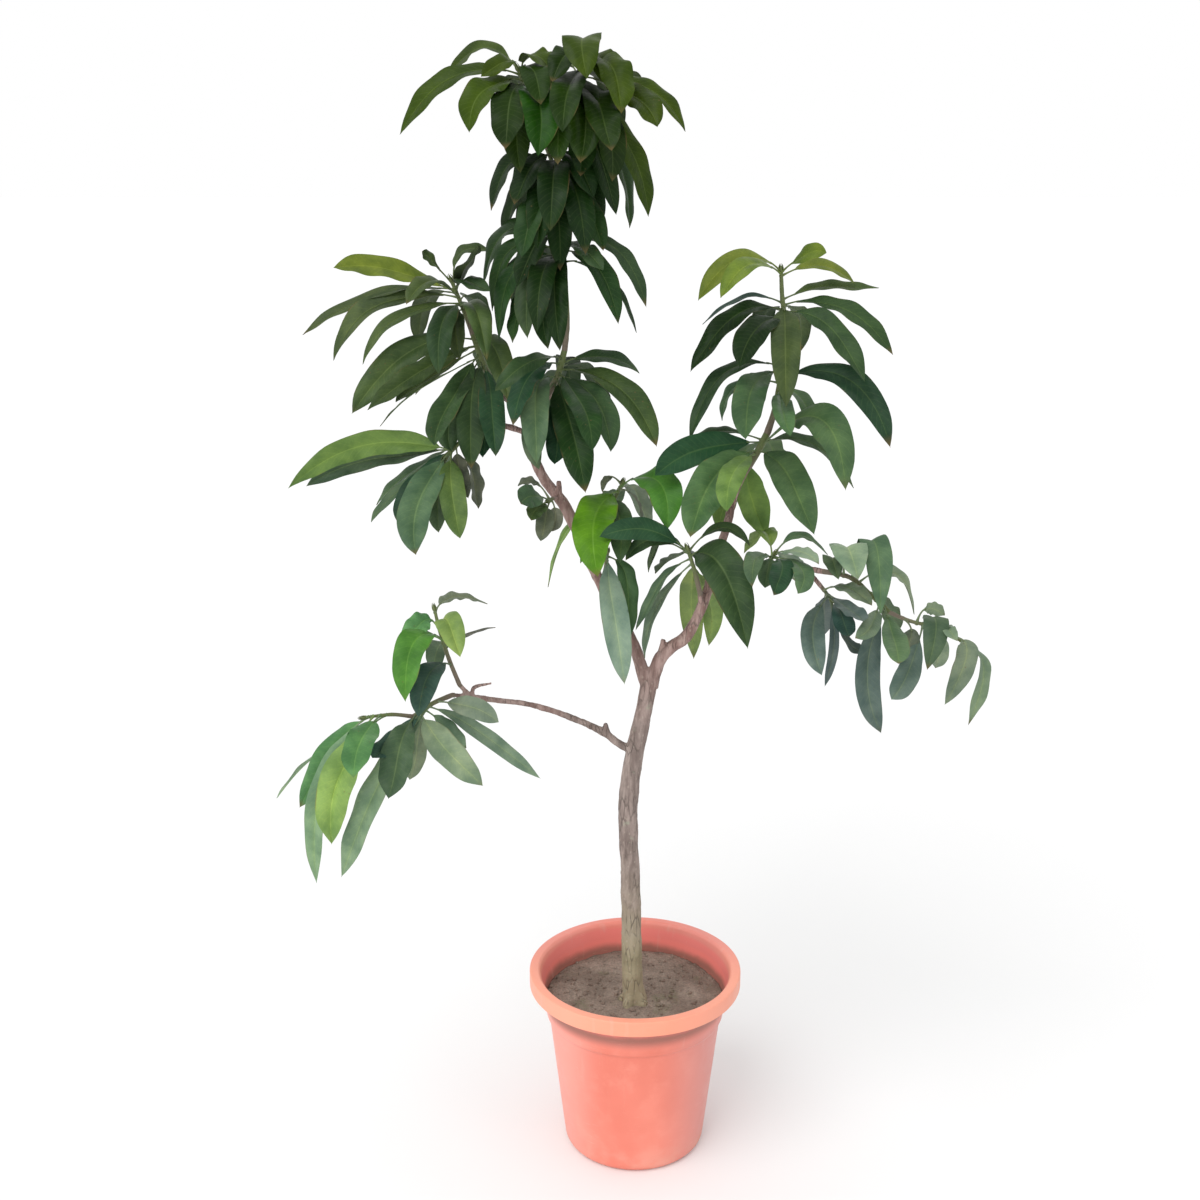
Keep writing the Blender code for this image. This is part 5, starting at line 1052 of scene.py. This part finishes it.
def rounded(profile):
    """The profile with each corner replaced by a short arc."""
    points = [Vector((radius * MM, height * MM)) for radius, height, rounding in profile]
    path = [points[0]]
    for i in range(1, len(points) - 1):
        before, here, after = points[i - 1], points[i], points[i + 1]
        size = min(profile[i][2] * MM, (before - here).length * 0.45, (after - here).length * 0.45)
        enter = here + (before - here).normalized() * size
        leave = here + (after - here).normalized() * size
        for k in range(6):
            t = k / 5
            path.append(enter * (1 - t) ** 2 + here * (2 * t * (1 - t)) + leave * t ** 2)
    return path + [points[-1]]


def refined(path, longest):
    """The path with long stretches cut into short ones."""
    fine = []
    for a, b in zip(path, path[1:]):
        count = max(1, math.ceil((b - a).length / longest))
        fine += [a.lerp(b, k / count) for k in range(count)]
    return fine + [path[-1]]


def make_pot():
    profile = refined(rounded(POT_PROFILE), 0.008)
    inner = profile[1:-1]
    corners = []
    for k in range(POT_STEPS):
        a = 2 * math.pi * k / POT_STEPS
        for point in inner:
            high = min(1.0, max(0.0, point.y / 0.2))
            radius = point.x + 0.0005 * high * math.sin(2 * a + 0.6) + 0.0002 * high * math.sin(5 * a)
            corners.append((radius * math.cos(a), radius * math.sin(a), point.y))
    n = len(inner)
    faces = []
    for k in range(POT_STEPS):
        here = k * n
        beside = (k + 1) % POT_STEPS * n
        faces += [(here + i, here + i + 1, beside + i + 1, beside + i) for i in range(n - 1)]
        faces.append((len(corners), here, beside))
        faces.append((len(corners) + 1, beside + n - 1, here + n - 1))
    corners += [(0, 0, profile[0].y), (0, 0, profile[-1].y)]
    mesh = bpy.data.meshes.new("pot_shell")
    mesh.from_pydata(corners, [], faces)
    mesh.materials.append(LOOKS["pot"])
    pot = link_object("pot_shell", mesh)
    drills = Piece()
    for k in range(DRAIN_HOLES):
        turn = 2 * math.pi * k / DRAIN_HOLES
        middle = Vector((0.058 * math.cos(turn), 0.058 * math.sin(turn), 0))
        drills.add(*skin(tube_rings([middle - UP * 0.01, middle + UP * 0.02], [0.005, 0.005], 24)))
    drill = drills.build("drills", ())
    change = pot.modifiers.new("holes", "BOOLEAN")
    change.operation = "DIFFERENCE"
    change.solver = "EXACT"
    change.object = drill
    cut = bpy.data.meshes.new_from_object(pot.evaluated_get(bpy.context.evaluated_depsgraph_get()))
    pot.modifiers.clear()
    pot.data = cut
    bpy.data.objects.remove(drill)
    cut.shade_smooth()
    cut.set_sharp_from_angle(angle=math.radians(50))
    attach(pot, "root")
    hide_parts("pot")


def soil_height(x, y):
    """Uneven soil: slow swells, clods, a mound round the trunk and a dip at the wall."""
    place = Vector((x, y, 0))
    waves = math.sin(31 * x + 1.2) + math.sin(37 * y - 0.6) * math.cos(23 * x)
    from_trunk = math.hypot(x + 0.004, y + 0.027)
    height = 0.229 + 0.0025 * (0.5 * waves + 1.4 * math.exp(-from_trunk ** 2 / 0.0018))
    height += 0.0022 * rough(place, 34, 1.0) + 0.0013 * noise.fractal(place * 120, 0.9, 2.1, 4)
    height += 0.0012 * max(0.0, rough(place, 75, 3.0))
    edge = math.hypot(x, y) / SOIL_EDGE
    return height - 0.003 * max(0.0, edge - 0.9) / 0.1


def add_crumb(piece, place, size, rng):
    """A rough lump of soil, grit or bark."""
    axes = rng.uniform(0.6, 1.2, 3) * size
    turn = rng.uniform(0, math.pi)
    rings = []
    for level, width in ((-0.8, 0.6), (-0.2, 1.0), (0.45, 0.85), (0.85, 0.45)):
        ring = []
        for k in range(7):
            a = 2 * math.pi * k / 7 + turn
            w = width * rng.uniform(0.8, 1.15)
            ring.append(Vector((place[0] + axes[0] * w * math.cos(a), place[1] + axes[1] * w * math.sin(a),
                                place[2] + axes[2] * level * 0.8)))
        rings.append(ring)
    corners, faces = skin(rings, Vector((place[0], place[1], place[2] + axes[2] * 0.9)))
    piece.add(corners, faces)


def make_soil():
    piece = Piece()
    corners = []
    for i in range(1, SOIL_RINGS + 1):
        radius = SOIL_EDGE * (i / SOIL_RINGS) ** 0.85
        for k in range(SOIL_STEPS):
            a = 2 * math.pi * k / SOIL_STEPS
            x, y = radius * math.cos(a), radius * math.sin(a)
            corners.append((x, y, soil_height(x, y)))
    for k in range(SOIL_STEPS):
        a = 2 * math.pi * k / SOIL_STEPS
        corners.append((0.122 * math.cos(a), 0.122 * math.sin(a), 0.209))
    corners += [(0, 0, soil_height(0, 0)), (0, 0, 0.209)]
    faces = []
    for i in range(SOIL_RINGS):
        for k in range(SOIL_STEPS):
            here = i * SOIL_STEPS + k
            beside = i * SOIL_STEPS + (k + 1) % SOIL_STEPS
            faces.append((here, here + SOIL_STEPS, beside + SOIL_STEPS, beside))
    top = len(corners) - 2
    last = SOIL_RINGS * SOIL_STEPS
    faces += [(top, k, (k + 1) % SOIL_STEPS) for k in range(SOIL_STEPS)]
    faces += [(top + 1, last + (k + 1) % SOIL_STEPS, last + k) for k in range(SOIL_STEPS)]
    piece.add(corners, faces)
    rng = np.random.default_rng(77)
    for _ in range(CRUMBS):
        radius = SOIL_EDGE * 0.97 * math.sqrt(rng.random())
        a = rng.uniform(0, 2 * math.pi)
        x, y = radius * math.cos(a), radius * math.sin(a)
        if math.hypot(x + 0.004, y + 0.027) < 0.019:
            continue
        size = 0.0008 + 0.0032 * rng.random() ** 3
        add_crumb(piece, (x, y, soil_height(x, y) + size * 0.15), size, rng)
    soil = piece.build("soil_top", (LOOKS["soil"],))
    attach(soil, "root")
    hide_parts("soil")


# Surroundings

FLOOR_REACH = 40
SUN_WAY = (-0.5, -0.6, 0.95)
SUN_POWER = 1.15
SUN_WIDTH = math.radians(40)

def floor_look():
    look = Look("floor", Roughness=0.9, Specular_IOR_Level=0.0)
    cloud = look.noise(0.6, 2)
    return look.wear(look.mix(cloud, (0.80, 0.80, 0.80), (0.83, 0.83, 0.83)))


def make_floor():
    mesh = bpy.data.meshes.new("floor")
    mesh.from_pydata([(-FLOOR_REACH, -FLOOR_REACH, 0), (FLOOR_REACH, -FLOOR_REACH, 0), (FLOOR_REACH, FLOOR_REACH, 0),
                      (-FLOOR_REACH, FLOOR_REACH, 0)], [], [(0, 1, 2, 3)])
    mesh.materials.append(floor_look())
    link_object("floor", mesh)


def make_light(name, place, aim, size, power, colour=(1, 1, 1)):
    light = bpy.data.lights.new(name, "AREA")
    light.shape = "DISK"
    light.size = size
    light.energy = power
    light.color = colour
    thing = bpy.data.objects.new(name, light)
    thing.location = place
    thing.rotation_euler = (Vector(aim) - Vector(place)).to_track_quat("-Z", "Y").to_euler()
    bpy.context.scene.collection.objects.link(thing)


def make_studio():
    world = bpy.data.worlds.new("studio")
    world.use_nodes = True
    background = world.node_tree.nodes["Background"]
    background.inputs["Color"].default_value = (1, 1, 1, 1)
    background.inputs["Strength"].default_value = 1.0
    bpy.context.scene.world = world
    sun = bpy.data.lights.new("sun", "SUN")
    sun.energy = SUN_POWER
    sun.angle = SUN_WIDTH
    thing = bpy.data.objects.new("sun", sun)
    thing.rotation_euler = Vector(SUN_WAY).to_track_quat("Z", "Y").to_euler()
    bpy.context.scene.collection.objects.link(thing)
    make_light("fill", (-1.1, -2.8, 0.7), (0, 0, 0.3), 1.4, 16)
    camera = bpy.data.cameras.new("camera")
    camera.lens = 47
    camera.sensor_width = 36
    thing = bpy.data.objects.new("camera", camera)
    thing.location = EYE
    thing.rotation_euler = (math.radians(73.7), 0, 0)
    bpy.context.scene.collection.objects.link(thing)
    bpy.context.scene.camera = thing
    bpy.context.scene.view_settings.view_transform = "Standard"


LOOKS.update(leaf=leaf_look(), stem=stem_look(), bark=bark_look(), pot=pot_look(), soil=soil_look())
make_studio()
make_floor()
make_pot()
make_soil()
make_wood()
make_shoots()
